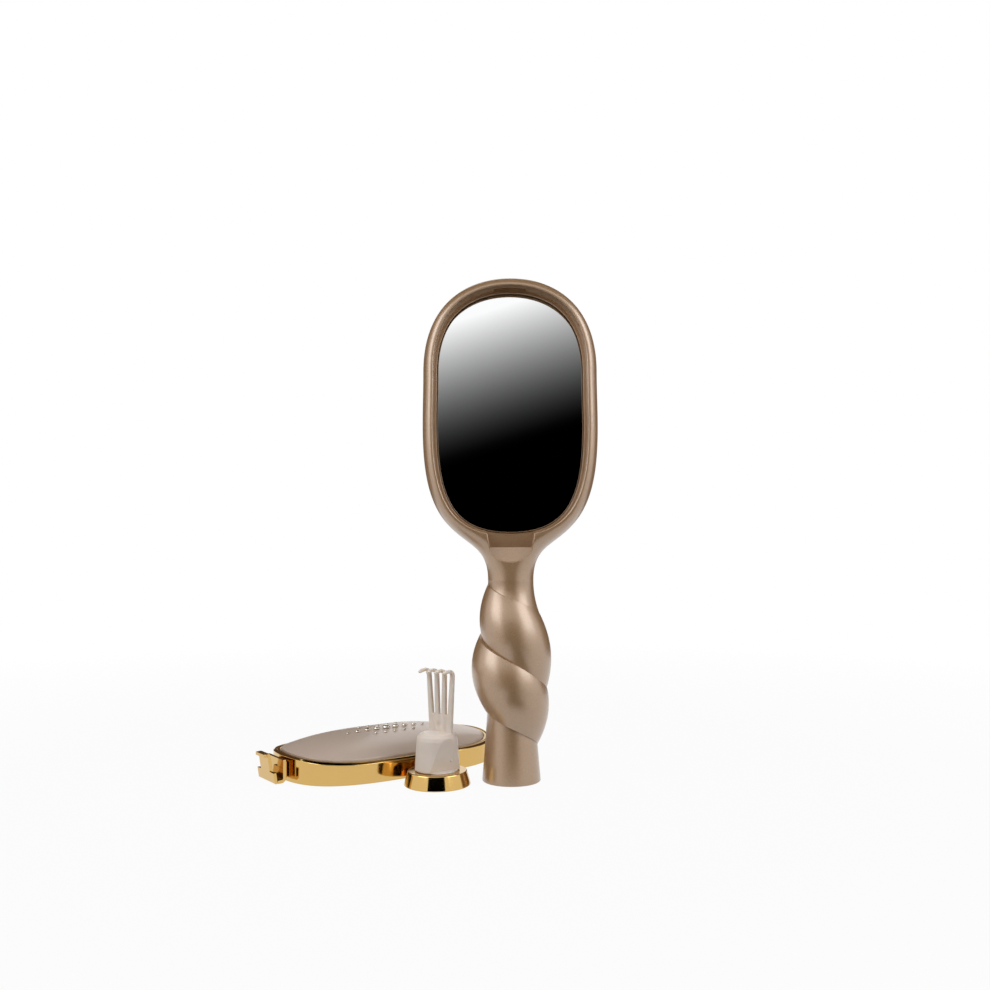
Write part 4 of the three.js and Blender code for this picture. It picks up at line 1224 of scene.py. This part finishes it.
def pearl_panel():
    cover = sizes_of("brush_cover")
    edge = cover_outline(bezel_inner() + cover.gap)

    def ring(part, drop=0):
        return [Vector((p.x * part, p.y * part, panel_height(p.x * part, part) - drop)) for p in edge]

    under = [ring(part, cover.panel_thickness) for part in PANEL_UNDER]
    return sweep("cover_pearl_panel", under + [ring(1, PANEL_ROUND)] + [ring(part) for part in PANEL_OVER])


class BRUSH_OT_cover(bpy.types.Operator):
    """Makes the cover's gold band with its tongue, the bezel and the domed pearl panel"""
    bl_idname = "brush.cover"
    bl_label = "Cover"

    def execute(self, context):
        for piece, slot, material, node, angle in (
            (gold_band(), "gold", polished_gold(), "cover_rim", 25),
            (gold_bezel(), "gold", polished_gold(), "cover_bezel", 50),
            (pearl_panel(), "pearl", pearl_lacquer(), "cover_panel", 50),
        ):
            tidy_mesh(piece)
            firm(piece, angle)
            finish(piece, COVER_PLACE, "cover", slot, material, node)
        return {"FINISHED"}


STONE_SIDES = 12
STONE_SINK = 0.1 * MM


def cut_stone(radius):
    """A round stone with a table, two rows of facets and a girdle"""
    profile = [(0.5 * radius, -0.35 * radius), (radius, 0.22 * radius), (radius, 0.3 * radius),
               (0.8 * radius, 0.58 * radius), (0.52 * radius, 0.75 * radius)]
    rings = turned_rings(profile, STONE_SIDES)
    half = Matrix.Rotation(math.pi / STONE_SIDES, 3, "Z")
    rings[3] = [half @ p for p in rings[3]]
    return sweep("stone", rings)


class BRUSH_OT_stones(bpy.types.Operator):
    """Sets a cut stone in each of its places on the panel"""
    bl_idname = "brush.stones"
    bl_label = "Stones"

    def execute(self, context):
        crystal = cut_crystal()
        for node in sorted(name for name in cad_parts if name.startswith("stone_")):
            low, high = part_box(node)
            stone = cut_stone((high.x - low.x) / 2)
            stone.name = stone.data.name = f"{node}_cut"
            tidy_mesh(stone)
            seat = Matrix.Translation(((low.x + high.x) / 2, (low.y + high.y) / 2, low.z - STONE_SINK))
            finish(stone, seat, "cover", "stone", crystal, node)
        return {"FINISHED"}


# The latch, drawn from the band's near end: x outward, z up

def prism(name, corners, width):
    """A plate whose outline is drawn in x and z and which is as wide in y as given"""
    piece = circle(name, len(corners), "NGON")
    for vertex, (x, z) in zip(piece.data.vertices, corners):
        vertex.co = (x, -width / 2, z)
    start_edit(piece)
    bpy.ops.mesh.extrude_region_move(TRANSFORM_OT_translate={"value": (0, width, 0)})
    turn_outward()
    end_edit()
    return piece


def plate(name, low, high, width):
    """A plate between two corners in x and z"""
    return prism(name, [low, (high[0], low[1]), high, (low[0], high[1])], width)


def latch_matrix():
    end = Matrix.Translation((-cover_half_length(), 0, 0)) @ Matrix.Rotation(math.pi, 4, "Z")
    return COVER_PLACE @ end


def arc(middle, radius, start, end, steps):
    """Points on an arc in x and z, its angles in degrees"""
    points = []
    for i in range(steps + 1):
        angle = math.radians(mix(start, end, i / steps))
        points.append((middle[0] + radius * math.cos(angle), middle[1] + radius * math.sin(angle)))
    return points


LEG_BEND = 0.8 * MM
LEG_EDGE = 0.2 * MM
LEAF_EDGE = 0.22 * MM
# What the foot of the leg keeps clear of the leaf
FOOT_GAP = 0.1 * MM


def fixed_leg():
    """The leg with its foot, held off the band by a spacer"""
    cover = sizes_of("brush_cover")
    sheet, gap = cover.latch_sheet, cover.gap
    bend = LEG_BEND
    start = cover.latch_standoff
    foot_end = cover.latch_reach - sheet - FOOT_GAP
    middle = (start + sheet + bend, gap + sheet + bend)
    corners = arc(middle, sheet + bend, 270, 180, 8)
    corners += [(start, cover.latch_leg), (start + sheet, cover.latch_leg)]
    corners += arc(middle, bend, 180, 270, 6)
    corners += [(foot_end, gap + sheet), (foot_end, gap)]
    leg = prism("latch_fixed_leg", corners, cover.latch_width)
    inside = start + sheet / 2
    spacer = plate("spacer", (gap, cover.spacer_low), (inside, cover.spacer_top), cover.spacer_width)
    join_on(leg, spacer)
    tidy_mesh(leg)
    soften(leg, LEG_EDGE, angle=40)
    return leg


def sprung_leaf():
    cover = sizes_of("brush_cover")
    sheet = cover.latch_sheet
    bend_z = cover.gap + sheet / 2
    bend_x = cover.latch_reach - sheet / 2
    rise = cover.latch_top - bend_z

    def lean(z):
        return bend_x + cover.latch_lean * (z - bend_z) / rise

    def pair(z):
        return [(lean(z) - sheet / 2, z), (lean(z) + sheet / 2, z)]

    def wall(foot, high, width, name):
        left, right = pair(high)
        return prism(name, [left, *foot, right], width)

    round_foot = arc((bend_x, bend_z), sheet / 2, 180, 360, 8)
    top = cover.latch_top
    leaf = wall(round_foot, cover.latch_shoulder, cover.latch_width, "latch_sprung_leaf")
    neck = wall(pair(cover.latch_shoulder - MM), top, cover.latch_neck, "neck")
    start = lean(top) - sheet / 2
    end = start + cover.flange_reach + sheet
    flange = prism("flange", [(start, top - sheet), (start, top), (end, top), (end, top - sheet)],
                   cover.flange_width)
    join_on(leaf, neck)
    join_on(leaf, flange)
    tidy_mesh(leaf)
    soften(leaf, LEAF_EDGE, angle=40)
    return leaf


class BRUSH_OT_latch(bpy.types.Operator):
    """Makes the latch: the leg fixed to the band's end and the sprung leaf with its thumb flange"""
    bl_idname = "brush.latch"
    bl_label = "Latch"

    def execute(self, context):
        gold = polished_gold()
        for piece, body, node in ((fixed_leg(), "cover", "latch_bracket"),
                                  (sprung_leaf(), "latch", "latch_leaf")):
            tidy_mesh(piece)
            firm(piece, angle=50)
            finish(piece, latch_matrix(), body, "gold", gold, node)
        return {"FINISHED"}


# The cleaning pick

PICK_POINTS = 128


def rounded_corner(radius, z, edge, radial, upward):
    """A quarter round at a turned corner, from the side towards the top or bottom"""
    return [(radius - radial * side, z - upward * drop) for side, drop in quarter(edge, CORNER_ARC)]


# Radius of the hole that closes a turned piece at its axis
FOOT_AXIS, PLUG_AXIS = 2 * MM, 0.5 * MM


def foot_ring():
    pick = sizes_of("brush_pick")
    edge = pick.foot_edge
    socket = pick.spigot_radius + pick.gap
    profile = [(FOOT_AXIS, 0)]
    profile += reversed(rounded_corner(pick.foot_radius, 0, edge, 1, -1))
    profile += rounded_corner(pick.foot_top_radius, pick.foot_height, edge, 1, 1)
    profile += reversed(rounded_corner(socket, pick.foot_height, edge / 2, -1, 1))
    profile += [(socket, pick.foot_floor), (FOOT_AXIS, pick.foot_floor)]
    return sweep("pick_foot_ring", turned_rings(profile, PICK_POINTS))


def plug_base():
    pick = sizes_of("brush_pick")
    return pick.foot_height + pick.gap


def plug_top():
    return plug_base() + sizes_of("brush_pick").plug_height


def tine_foot():
    return plug_top() - sizes_of("brush_pick").tine_root


# How far the facet ends above the plug's base
FACET_HAIR = 0.02 * MM


def plug():
    """The plug with its spigot, its domed top and its slanted facet"""
    pick = sizes_of("brush_pick")
    base, top = plug_base(), plug_top()
    sunk = pick.foot_floor + pick.gap
    profile = [(PLUG_AXIS, sunk), (pick.spigot_radius, sunk), (pick.spigot_radius, base),
               (pick.plug_radius, base)]
    profile += rounded_corner(pick.plug_top_radius, top, pick.plug_round, 1, 1)
    profile += [(PLUG_AXIS, top)]
    piece = sweep("pick_comb_moulding", turned_rings(profile, PICK_POINTS))
    tidy_mesh(piece)
    outside = 3 * pick.plug_radius
    low, past = base + FACET_HAIR, top + PAST
    wedge = prism("wedge", [(pick.facet_low, low), (outside, low), (outside, past), (pick.facet_high, past)],
                  2 * outside)
    place(wedge, Matrix.Rotation(pick.facet_turn, 4, "Z"))
    cut(piece, wedge)
    return piece


TINES = 4
TINE_SIDES = 16
PATH_STEPS = 6
BEND_STEPS = 7
# Share of the hook that the bend takes, and from where on its tip narrows
BEND_SHARE = 0.4
TIP_START = 0.8
TIP_NARROWING = 0.72
HOOK_WIDTH = 0.8
# How square a tine is in section: 1 is round
SQUARENESS = 0.62


def tine_path():
    """Middle line of a tine and its hook, as x and z, each with the share of the hook that is behind it"""
    pick = sizes_of("brush_pick")
    half, bend = pick.hook_thickness / 2, pick.hook_bend
    top = pick.height - half
    path = [(0, mix(tine_foot(), top - bend, i / PATH_STEPS), 0) for i in range(PATH_STEPS + 1)]
    corner = arc((bend, top - bend), bend, 180, 90, BEND_STEPS)[1:]
    path += [(x, z, BEND_SHARE * (i + 1) / BEND_STEPS) for i, (x, z) in enumerate(corner)]
    end = pick.hook_reach - half
    for i in range(1, PATH_STEPS + 1):
        part = i / PATH_STEPS
        path.append((mix(bend, end, part), top - pick.hook_sink * part ** 2, mix(BEND_SHARE, 1, part)))
    return path


def rounded(value):
    """A sine or cosine that makes a circle a rounded square"""
    return math.copysign(abs(value) ** SQUARENESS, value)


def tine(index):
    """One hooked tine, wider at its foot and rounded off at the hook's tip"""
    pick = sizes_of("brush_pick")
    path = tine_path()
    foot, top = tine_foot(), pick.height
    rings = []
    for i, (x, z, hooked) in enumerate(path):
        before, after = path[max(i - 1, 0)], path[min(i + 1, len(path) - 1)]
        way = Vector((after[0] - before[0], 0, after[1] - before[1])).normalized()
        across = Vector((way.z, 0, -way.x))
        rise = min((z - foot) / (top - foot), 1)
        tip = mix(1, TIP_NARROWING, max(hooked - TIP_START, 0) / (1 - TIP_START))
        upright = mix(pick.tine_low_width, pick.tine_top_width, rise)
        width = mix(upright, HOOK_WIDTH * pick.tine_top_width, hooked)
        half_x = mix(pick.tine_thickness, pick.hook_thickness, min(hooked / BEND_SHARE, 1)) / 2 * tip
        half_y = width / 2 * tip
        spacing = mix(pick.tine_low_spacing, pick.tine_top_spacing, rise)
        middle = Vector((x - pick.back_offset, (index - (TINES - 1) / 2) * spacing, z))
        angles = [2 * math.pi * k / TINE_SIDES for k in range(TINE_SIDES)]
        rings.append([middle
                      + across * half_x * rounded(math.cos(angle))
                      + Vector((0, 1, 0)) * half_y * rounded(math.sin(angle)) for angle in angles])
    piece = sweep("tine", rings)
    tidy_mesh(piece)
    return piece


def ball(location, radius, scale=(1, 1, 1)):
    deselect()
    bpy.ops.mesh.primitive_uv_sphere_add(segments=32, ring_count=20, radius=radius, location=location,
                                         scale=scale)
    bpy.ops.object.transform_apply(location=True, rotation=True, scale=True)
    return bpy.context.object


def neck_web():
    """The web between the feet of the tines, a little thinner than they are"""
    pick = sizes_of("brush_pick")
    half = pick.web_thickness / 2
    back, front = -half - pick.back_offset, half - pick.back_offset
    foot, top = tine_foot(), pick.web_top
    rise = (top - foot) / (pick.height - foot)
    low = (TINES - 1) / 2 * pick.tine_low_spacing
    high = (TINES - 1) / 2 * mix(pick.tine_low_spacing, pick.tine_top_spacing, rise)
    web = plate("web", (back, foot), (front, top), 2 * low)
    for vertex in web.data.vertices:
        if vertex.co.z > mix(foot, top, 0.5):
            vertex.co.y *= high / low
    return web


def comb():
    """Plug, web and tines as one moulding, with the detent on the facet and the dimple over the ribs"""
    pick = sizes_of("brush_pick")
    base, top = plug_base(), plug_top()
    piece = plug()
    join_on(piece, neck_web())
    for index in range(TINES):
        join_on(piece, tine(index))
    part = pick.detent_height / (top + PAST - base)
    facet = mix(pick.facet_low, pick.facet_high, part)
    detent = ball((facet - pick.detent_radius + pick.detent_proud, pick.detent_side,
                   base + pick.detent_height), pick.detent_radius)
    place(detent, Matrix.Rotation(pick.facet_turn, 4, "Z"))
    join_on(piece, detent)
    height = (top + pick.web_top) / 2 - pick.dimple_drop
    dimple = ball((pick.tine_thickness / 2 - pick.back_offset, 0, height), pick.dimple_radius,
                  (pick.dimple_depth, 1, pick.dimple_tall))
    cut(piece, dimple)
    return piece


# Size of the cells that the comb is moulded together from
COMB_GRAIN = 0.19 * MM


class BRUSH_OT_pick(bpy.types.Operator):
    """Makes the cleaning pick: the gold foot ring and the comb moulding"""
    bl_idname = "brush.pick"
    bl_label = "Cleaning pick"

    def execute(self, context):
        ring = foot_ring()
        tidy_mesh(ring)
        firm(ring, angle=40)
        finish(ring, PICK_PLACE, "pick", "gold", polished_gold(), "pick_foot")
        piece = comb()
        tidy_mesh(piece)
        modify(piece, "REMESH", mode="VOXEL", voxel_size=COMB_GRAIN, adaptivity=0)
        modify(piece, "SMOOTH", factor=0.5, iterations=2)
        smooth(piece, angle=180)
        finish(piece, PICK_PLACE, "pick", "nylon", comb_nylon(), "pick_comb")
        return {"FINISHED"}


# Shared effects

def add_node(tree, kind, inputs=None, **settings):
    """Adds a shader node, each of whose inputs takes a value or the output of another node"""
    made = tree.nodes.new(f"ShaderNode{kind}")
    for name, value in settings.items():
        setattr(made, name, value)
    for label, value in (inputs or {}).items():
        if isinstance(value, bpy.types.NodeSocket):
            tree.links.new(value, made.inputs[label])
        else:
            made.inputs[label].default_value = value
    return made


def grain(tree, given):
    """Fine even grain, as a moulded or lacquered surface has"""
    inputs = {label: given[label] for label in ("Vector", "Scale", "Roughness")}
    return add_node(tree, "TexNoise", {**inputs, "Detail": 3}).outputs["Fac"]


def handling(tree, given):
    """Soft patches that handling and cleaning leave, between a low and a high value"""
    inputs = {label: given[label] for label in ("Vector", "Scale")}
    noise = add_node(tree, "TexNoise", {**inputs, "Detail": 5, "Roughness": 0.55})
    span = {"From Min": 0.35, "From Max": 0.65, "To Min": given["Low"], "To Max": given["High"]}
    return add_node(tree, "MapRange", {"Value": noise.outputs["Fac"], **span}).outputs["Result"]


def flake(tree, given):
    """Metal flakes in a lacquer: a random level for each tiny cell"""
    cells = add_node(tree, "TexVoronoi", {label: given[label] for label in ("Vector", "Scale")})
    return add_node(tree, "SeparateColor", {"Color": cells.outputs["Color"]}).outputs["Red"]


# The group of each effect: its name, its levels with their defaults, and what it puts out
EFFECTS = {
    grain: ("fine_grain", {"Scale": 3000, "Roughness": 0.6}, "Grain"),
    handling: ("handling", {"Scale": 60, "Low": 0.3, "High": 0.4}, "Level"),
    flake: ("metal_flake", {"Scale": 4500}, "Flake"),
}


def effect_group(effect):
    """The node group of an effect, made once: a vector and float levels in, one float out"""
    name, levels, output = EFFECTS[effect]
    found = bpy.data.node_groups.get(name)
    if found:
        return found
    tree = bpy.data.node_groups.new(name, "ShaderNodeTree")
    tree.interface.new_socket(name="Vector", in_out="INPUT", socket_type="NodeSocketVector")
    for label, value in levels.items():
        socket = tree.interface.new_socket(name=label, in_out="INPUT", socket_type="NodeSocketFloat")
        socket.default_value = value
    tree.interface.new_socket(name=output, in_out="OUTPUT", socket_type="NodeSocketFloat")
    result = effect(tree, tree.nodes.new("NodeGroupInput").outputs)
    tree.links.new(result, tree.nodes.new("NodeGroupOutput").inputs[output])
    return tree


# Finishes

def surface(name, colour, pattern, tints, uneven=None, depth=0, relief=None, **constants):
    """A finish, made once: a pattern between two tints of its colour, an uneven roughness from low to high,
    and a relief in millimetres that follows the pattern or an effect of its own"""
    found = bpy.data.materials.get(name)
    if found:
        return found
    material = bpy.data.materials.new(name)
    material.use_nodes = True
    tree = material.node_tree
    shader = tree.nodes["Principled BSDF"]
    place_on_piece = add_node(tree, "TexCoord").outputs["Object"]

    def level(effect, **values):
        inputs = {"Vector": place_on_piece, **values}
        return add_node(tree, "Group", inputs, node_tree=effect_group(effect)).outputs[0]

    def feed(output, label):
        tree.links.new(output, shader.inputs[label])

    for label, value in constants.items():
        shader.inputs[label.replace("_", " ")].default_value = value
    spread = level(**pattern)
    own = tuple(getattr(sizes_of("brush_finishes"), colour))
    dark, light = ((*(min(c * factor, 1) for c in own), 1) for factor in tints)
    tint = add_node(tree, "Mix", {"Factor": spread, "A": dark, "B": light}, data_type="RGBA")
    feed(tint.outputs["Result"], "Base Color")
    if uneven:
        scale, low, high = uneven
        feed(level(handling, Scale=scale, Low=low, High=high), "Roughness")
    if depth:
        height = level(**relief) if relief else spread
        bump = add_node(tree, "Bump", {"Height": height, "Distance": depth * MM, "Strength": 1})
        feed(bump.outputs["Normal"], "Normal")
    return material


def patches(scale):
    return {"effect": handling, "Scale": scale, "Low": 0, "High": 1}


def champagne_lacquer():
    return surface("champagne_lacquer", "champagne", {"effect": flake, "Scale": 4200}, (0.86, 1.14),
                   uneven=(45, 0.36, 0.42), depth=0.006,
                   Metallic=0.26, Coat_Weight=1, Coat_Roughness=0.3, Coat_IOR=2)


def polished_gold():
    return surface("polished_gold", "gold", patches(30), (0.97, 1.03), uneven=(90, 0.07, 0.12), depth=0.012,
                   relief={"effect": grain, "Scale": 260, "Roughness": 0.4}, Metallic=1)


def pearl_lacquer():
    return surface("pearl_lacquer", "pearl", {"effect": flake, "Scale": 6000}, (0.93, 1.07),
                   uneven=(40, 0.36, 0.4), depth=0.0005,
                   Metallic=0.1, Coat_Weight=0.25, Coat_Roughness=0.15)


def silvered_glass():
    return surface("silvered_glass", "silver", patches(25), (0.99, 1), uneven=(35, 0, 0.012), Metallic=1)


def comb_nylon():
    return surface("comb_nylon", "nylon", patches(120), (0.97, 1.03), uneven=(150, 0.32, 0.42), depth=0.006,
                   relief={"effect": grain, "Scale": 1500},
                   Subsurface_Weight=0.6, Subsurface_Scale=3 * MM, Subsurface_Radius=(1, 0.75, 0.55))


def soft_rubber():
    return surface("soft_rubber", "rubber", patches(70), (1, 1.35), uneven=(110, 0.5, 0.62), depth=0.02,
                   relief={"effect": grain, "Scale": 2600})


def bristle_nylon():
    return surface("bristle_nylon", "bristle", patches(200), (0.9, 1.2), uneven=(300, 0.3, 0.4))


def cut_crystal():
    return surface("cut_crystal", "crystal", {"effect": flake, "Scale": 900}, (0.7, 1.1),
                   uneven=(400, 0.03, 0.07), Metallic=0.85, Coat_Weight=1, Coat_Roughness=0.02)


def foam_pad():
    return surface("foam_pad", "foam", {"effect": grain, "Scale": 1800}, (0.85, 1), depth=0.05, Roughness=0.9)


# Floor, flags, lamps and camera, in metres

WHITE = (1, 1, 1, 1)
BLACK = (0, 0, 0, 1)
BROWN = (0.1, 0.065, 0.045, 1)
FLOOR_SIZE = 120
FLOOR_PAINT = (0.4, 0.4, 0.4, 1)
# How white the floor is of itself near the object, and between which distances that becomes full
FLOOR_OWN_LIGHT = 0.95
FLOOR_NEAR, FLOOR_FAR = 0.2, 0.7
# Where the front flag passes from black to white
PASSAGE_LOW, PASSAGE_HIGH = 0.2265, 0.4118
PASSAGE_TILT = -0.32
PASSAGE_POWER = 2.55
FRONT_Y = -0.74
CEILING = 1.15
LIT_PLACE = Vector((0.02, -0.03, 0.12))
SIDE_FLAG_AWAY = 0.75
SOFTBOX_SIZE, SOFTBOX_RISE, SOFTBOX_AWAY = 0.66, 30, 0.95


def emptied(owner):
    """The node tree of a material or world, with nothing in it"""
    owner.use_nodes = True
    owner.node_tree.nodes.clear()
    return owner.node_tree


def seen_directly(tree):
    """1 for camera, glossy and transmission rays"""
    path = add_node(tree, "LightPath").outputs
    total = path["Is Camera Ray"]
    for label in ("Is Glossy Ray", "Is Transmission Ray"):
        total = add_node(tree, "Math", {0: total, 1: path[label]}, operation="MAXIMUM").outputs[0]
    return total


def white_room(ambient):
    """A world that looks white and lights the pieces at the ambient level"""
    world = bpy.data.worlds.new("white_room")
    tree = emptied(world)
    room, white = (add_node(tree, "Background", {"Color": WHITE, "Strength": level}).outputs[0]
                   for level in (ambient, 1))
    mixed = add_node(tree, "MixShader", {0: seen_directly(tree), 1: room, 2: white})
    add_node(tree, "OutputWorld", {"Surface": mixed.outputs[0]})
    bpy.context.scene.world = world


def floor_paint():
    """White paper that keeps the object's shadow close by and passes into plain white further off"""
    material = bpy.data.materials.new("floor_paint")
    tree = emptied(material)
    paint = add_node(tree, "BsdfDiffuse", {"Color": FLOOR_PAINT})
    glow = add_node(tree, "Emission", {"Color": WHITE, "Strength": 1})
    away = add_node(tree, "VectorMath", {0: add_node(tree, "TexCoord").outputs["Object"]}, operation="LENGTH")
    reach = add_node(tree, "MapRange", {
        "Value": away.outputs["Value"], "From Min": FLOOR_NEAR, "From Max": FLOOR_FAR,
        "To Min": FLOOR_OWN_LIGHT, "To Max": 1,
    })
    level = add_node(tree, "Math", {0: seen_directly(tree), 1: reach.outputs["Result"]}, operation="MULTIPLY")
    mixed = add_node(tree, "MixShader", {0: level.outputs[0], 1: paint.outputs[0], 2: glow.outputs[0]})
    add_node(tree, "OutputMaterial", {"Surface": mixed.outputs[0]})
    return material


def cloth(name, colour):
    """A cloth that shows its colour in any light"""
    material = bpy.data.materials.new(name)
    tree = emptied(material)
    glow = add_node(tree, "Emission", {"Color": colour})
    add_node(tree, "OutputMaterial", {"Surface": glow.outputs[0]})
    return material


def fading_cloth(name):
    """A black cloth that passes to white between two heights, the passage slanting along x"""
    material = cloth(name, BLACK)
    tree = material.node_tree
    apart = add_node(tree, "SeparateXYZ", {"Vector": add_node(tree, "TexCoord").outputs["Object"]}).outputs
    slant = add_node(tree, "Math", {0: apart["X"], 1: PASSAGE_TILT, 2: apart["Z"]}, operation="MULTIPLY_ADD")
    spread = add_node(tree, "MapRange",
                  {"Value": slant.outputs[0], "From Min": PASSAGE_LOW, "From Max": PASSAGE_HIGH})
    fade = add_node(tree, "Math", {0: spread.outputs["Result"], 1: PASSAGE_POWER}, operation="POWER")
    tint = add_node(tree, "Mix", {"Factor": fade.outputs[0], "A": BLACK, "B": WHITE}, data_type="RGBA")
    tree.links.new(tint.outputs["Result"], tree.nodes["Emission"].inputs["Color"])
    return material


def studio_card(name, start, end, rise, material):
    """A card seen only in reflections, from its lower edge and the way from there to its upper edge"""
    start, end, rise = Vector(start), Vector(end), Vector(rise)
    card = mesh_piece(name, [start, end, end + rise, start + rise], [(0, 1, 2, 3)])
    card.data.materials.append(material)
    card.visible_camera = False
    card.visible_diffuse = False
    card.visible_shadow = False


def around(azimuth, elevation, distance):
    """A place around the object: azimuth in degrees to the right of the camera's side, elevation upward"""
    turn, rise = math.radians(azimuth), math.radians(elevation)
    level = math.cos(rise)
    return Vector((math.sin(turn) * level, -math.cos(turn) * level, math.sin(rise))) * distance


def beside(azimuth):
    return around(azimuth, 0, SIDE_FLAG_AWAY)


def flags():
    """The dark studio as the polished pieces see it: in front, overhead and behind at both sides"""
    black, brown = cloth("black_cloth", BLACK), cloth("brown_cloth", BROWN)
    fading = fading_cloth("front_flag_cloth")
    left, right, low_y, table, mat = -0.4, 0.42, FRONT_Y + 0.005, 0.0005, 0.0006
    for name, start, end, rise, material in (
        ("front_flag", (left, FRONT_Y, 0), (right, FRONT_Y, 0), (0, 0, CEILING), fading),
        ("low_flag", (left, low_y, 0), (-0.06, low_y, 0), (0, 0, 0.32), black),
        ("table_flag", (left, FRONT_Y, table), (right, FRONT_Y, table), (0, 0.47, 0), black),
        ("ceiling_flag", (-0.9, FRONT_Y, CEILING), (0.9, FRONT_Y, CEILING), (0, 1.69, 0), black),
        ("front_mat", (0.012, -0.27, mat), (0.1, -0.27, mat), (0, 0.17, 0), black),
        ("left_flag", beside(-108), beside(-170), (0, 0, 0.9), brown),
        ("right_flag", beside(108), beside(170), (0, 0, 0.9), brown),
    ):
        studio_card(name, start, end, rise, material)


def softbox(name, location, width, height, energy):
    """A lamp with a rectangular face, turned to the object"""
    lamp = bpy.data.lights.new(name, "AREA")
    lamp.shape = "RECTANGLE"
    lamp.size, lamp.size_y, lamp.energy = width, height, energy
    piece = linked(name, lamp)
    piece.location = location
    piece.rotation_euler = (LIT_PLACE - location).to_track_quat("-Z", "Y").to_euler()
    return piece


def studio_camera(stage):
    """The camera of the photograph"""
    lens = bpy.data.cameras.new("camera")
    lens.lens, lens.sensor_width = stage.lens, 36
    lens.shift_x, lens.shift_y = stage.side_shift, stage.shift
    lens.clip_start = 0.01
    camera = linked("camera", lens)
    camera.location = stage.camera_place
    camera.rotation_euler = (math.pi / 2, stage.roll, 0)
    bpy.context.scene.camera = camera


class BRUSH_OT_stage(bpy.types.Operator):
    """Makes the floor, the white room, the flags, the softboxes and the camera"""
    bl_idname = "brush.stage"
    bl_label = "Stage"

    def execute(self, context):
        stage = context.scene.brush_stage
        context.scene.view_settings.view_transform = "Standard"
        white_room(stage.ambient)
        deselect()
        bpy.ops.mesh.primitive_plane_add(size=FLOOR_SIZE, location=(0, 0, 0))
        floor = context.object
        floor.name = floor.data.name = "studio_floor"
        floor.data.materials.append(floor_paint())
        flags()
        for side, azimuth, energy in (("left", -58, stage.key_power), ("right", 64, stage.fill_power)):
            location = LIT_PLACE + around(azimuth, SOFTBOX_RISE, SOFTBOX_AWAY)
            softbox(f"{side}_softbox", location, SOFTBOX_SIZE, SOFTBOX_SIZE, energy)
        overhead = softbox("top_softbox", Vector((0, 0.1, 0.95)), 0.8, 0.6, stage.top_power)
        overhead.visible_glossy = False
        studio_camera(stage)
        return {"FINISHED"}


STEPS = (BRUSH_OT_stage, BRUSH_OT_handle, BRUSH_OT_mirror, BRUSH_OT_brush_field, BRUSH_OT_cover,
         BRUSH_OT_stones, BRUSH_OT_latch, BRUSH_OT_pick)

SETTINGS = {
    "brush_handle": HandleSizes,
    "brush_field": BrushFieldSizes,
    "brush_cover": CoverSizes,
    "brush_pick": PickSizes,
    "brush_finishes": Finishes,
    "brush_stage": StageSettings,
}


class BRUSH_PT_panel(bpy.types.Panel):
    """Lists the pieces that can be made"""
    bl_label = "Styling brush"
    bl_idname = "BRUSH_PT_panel"
    bl_space_type = "VIEW_3D"
    bl_region_type = "UI"
    bl_category = "Styling brush"

    def draw(self, context):
        for step in STEPS:
            self.layout.operator(step.bl_idname)


def register():
    for name, group in SETTINGS.items():
        bpy.utils.register_class(group)
        setattr(bpy.types.Scene, name, bpy.props.PointerProperty(type=group))
    for step in STEPS:
        bpy.utils.register_class(step)
    bpy.utils.register_class(BRUSH_PT_panel)


def unregister():
    bpy.utils.unregister_class(BRUSH_PT_panel)
    for step in reversed(STEPS):
        bpy.utils.unregister_class(step)
    for name, group in SETTINGS.items():
        delattr(bpy.types.Scene, name)
        bpy.utils.unregister_class(group)


def main():
    register()
    bpy.ops.brush.stage()
    bpy.ops.brush.handle()
    bpy.ops.brush.mirror()
    bpy.ops.brush.brush_field()
    bpy.ops.brush.cover()
    bpy.ops.brush.stones()
    bpy.ops.brush.latch()
    bpy.ops.brush.pick()


if __name__ == "__main__":
    main()
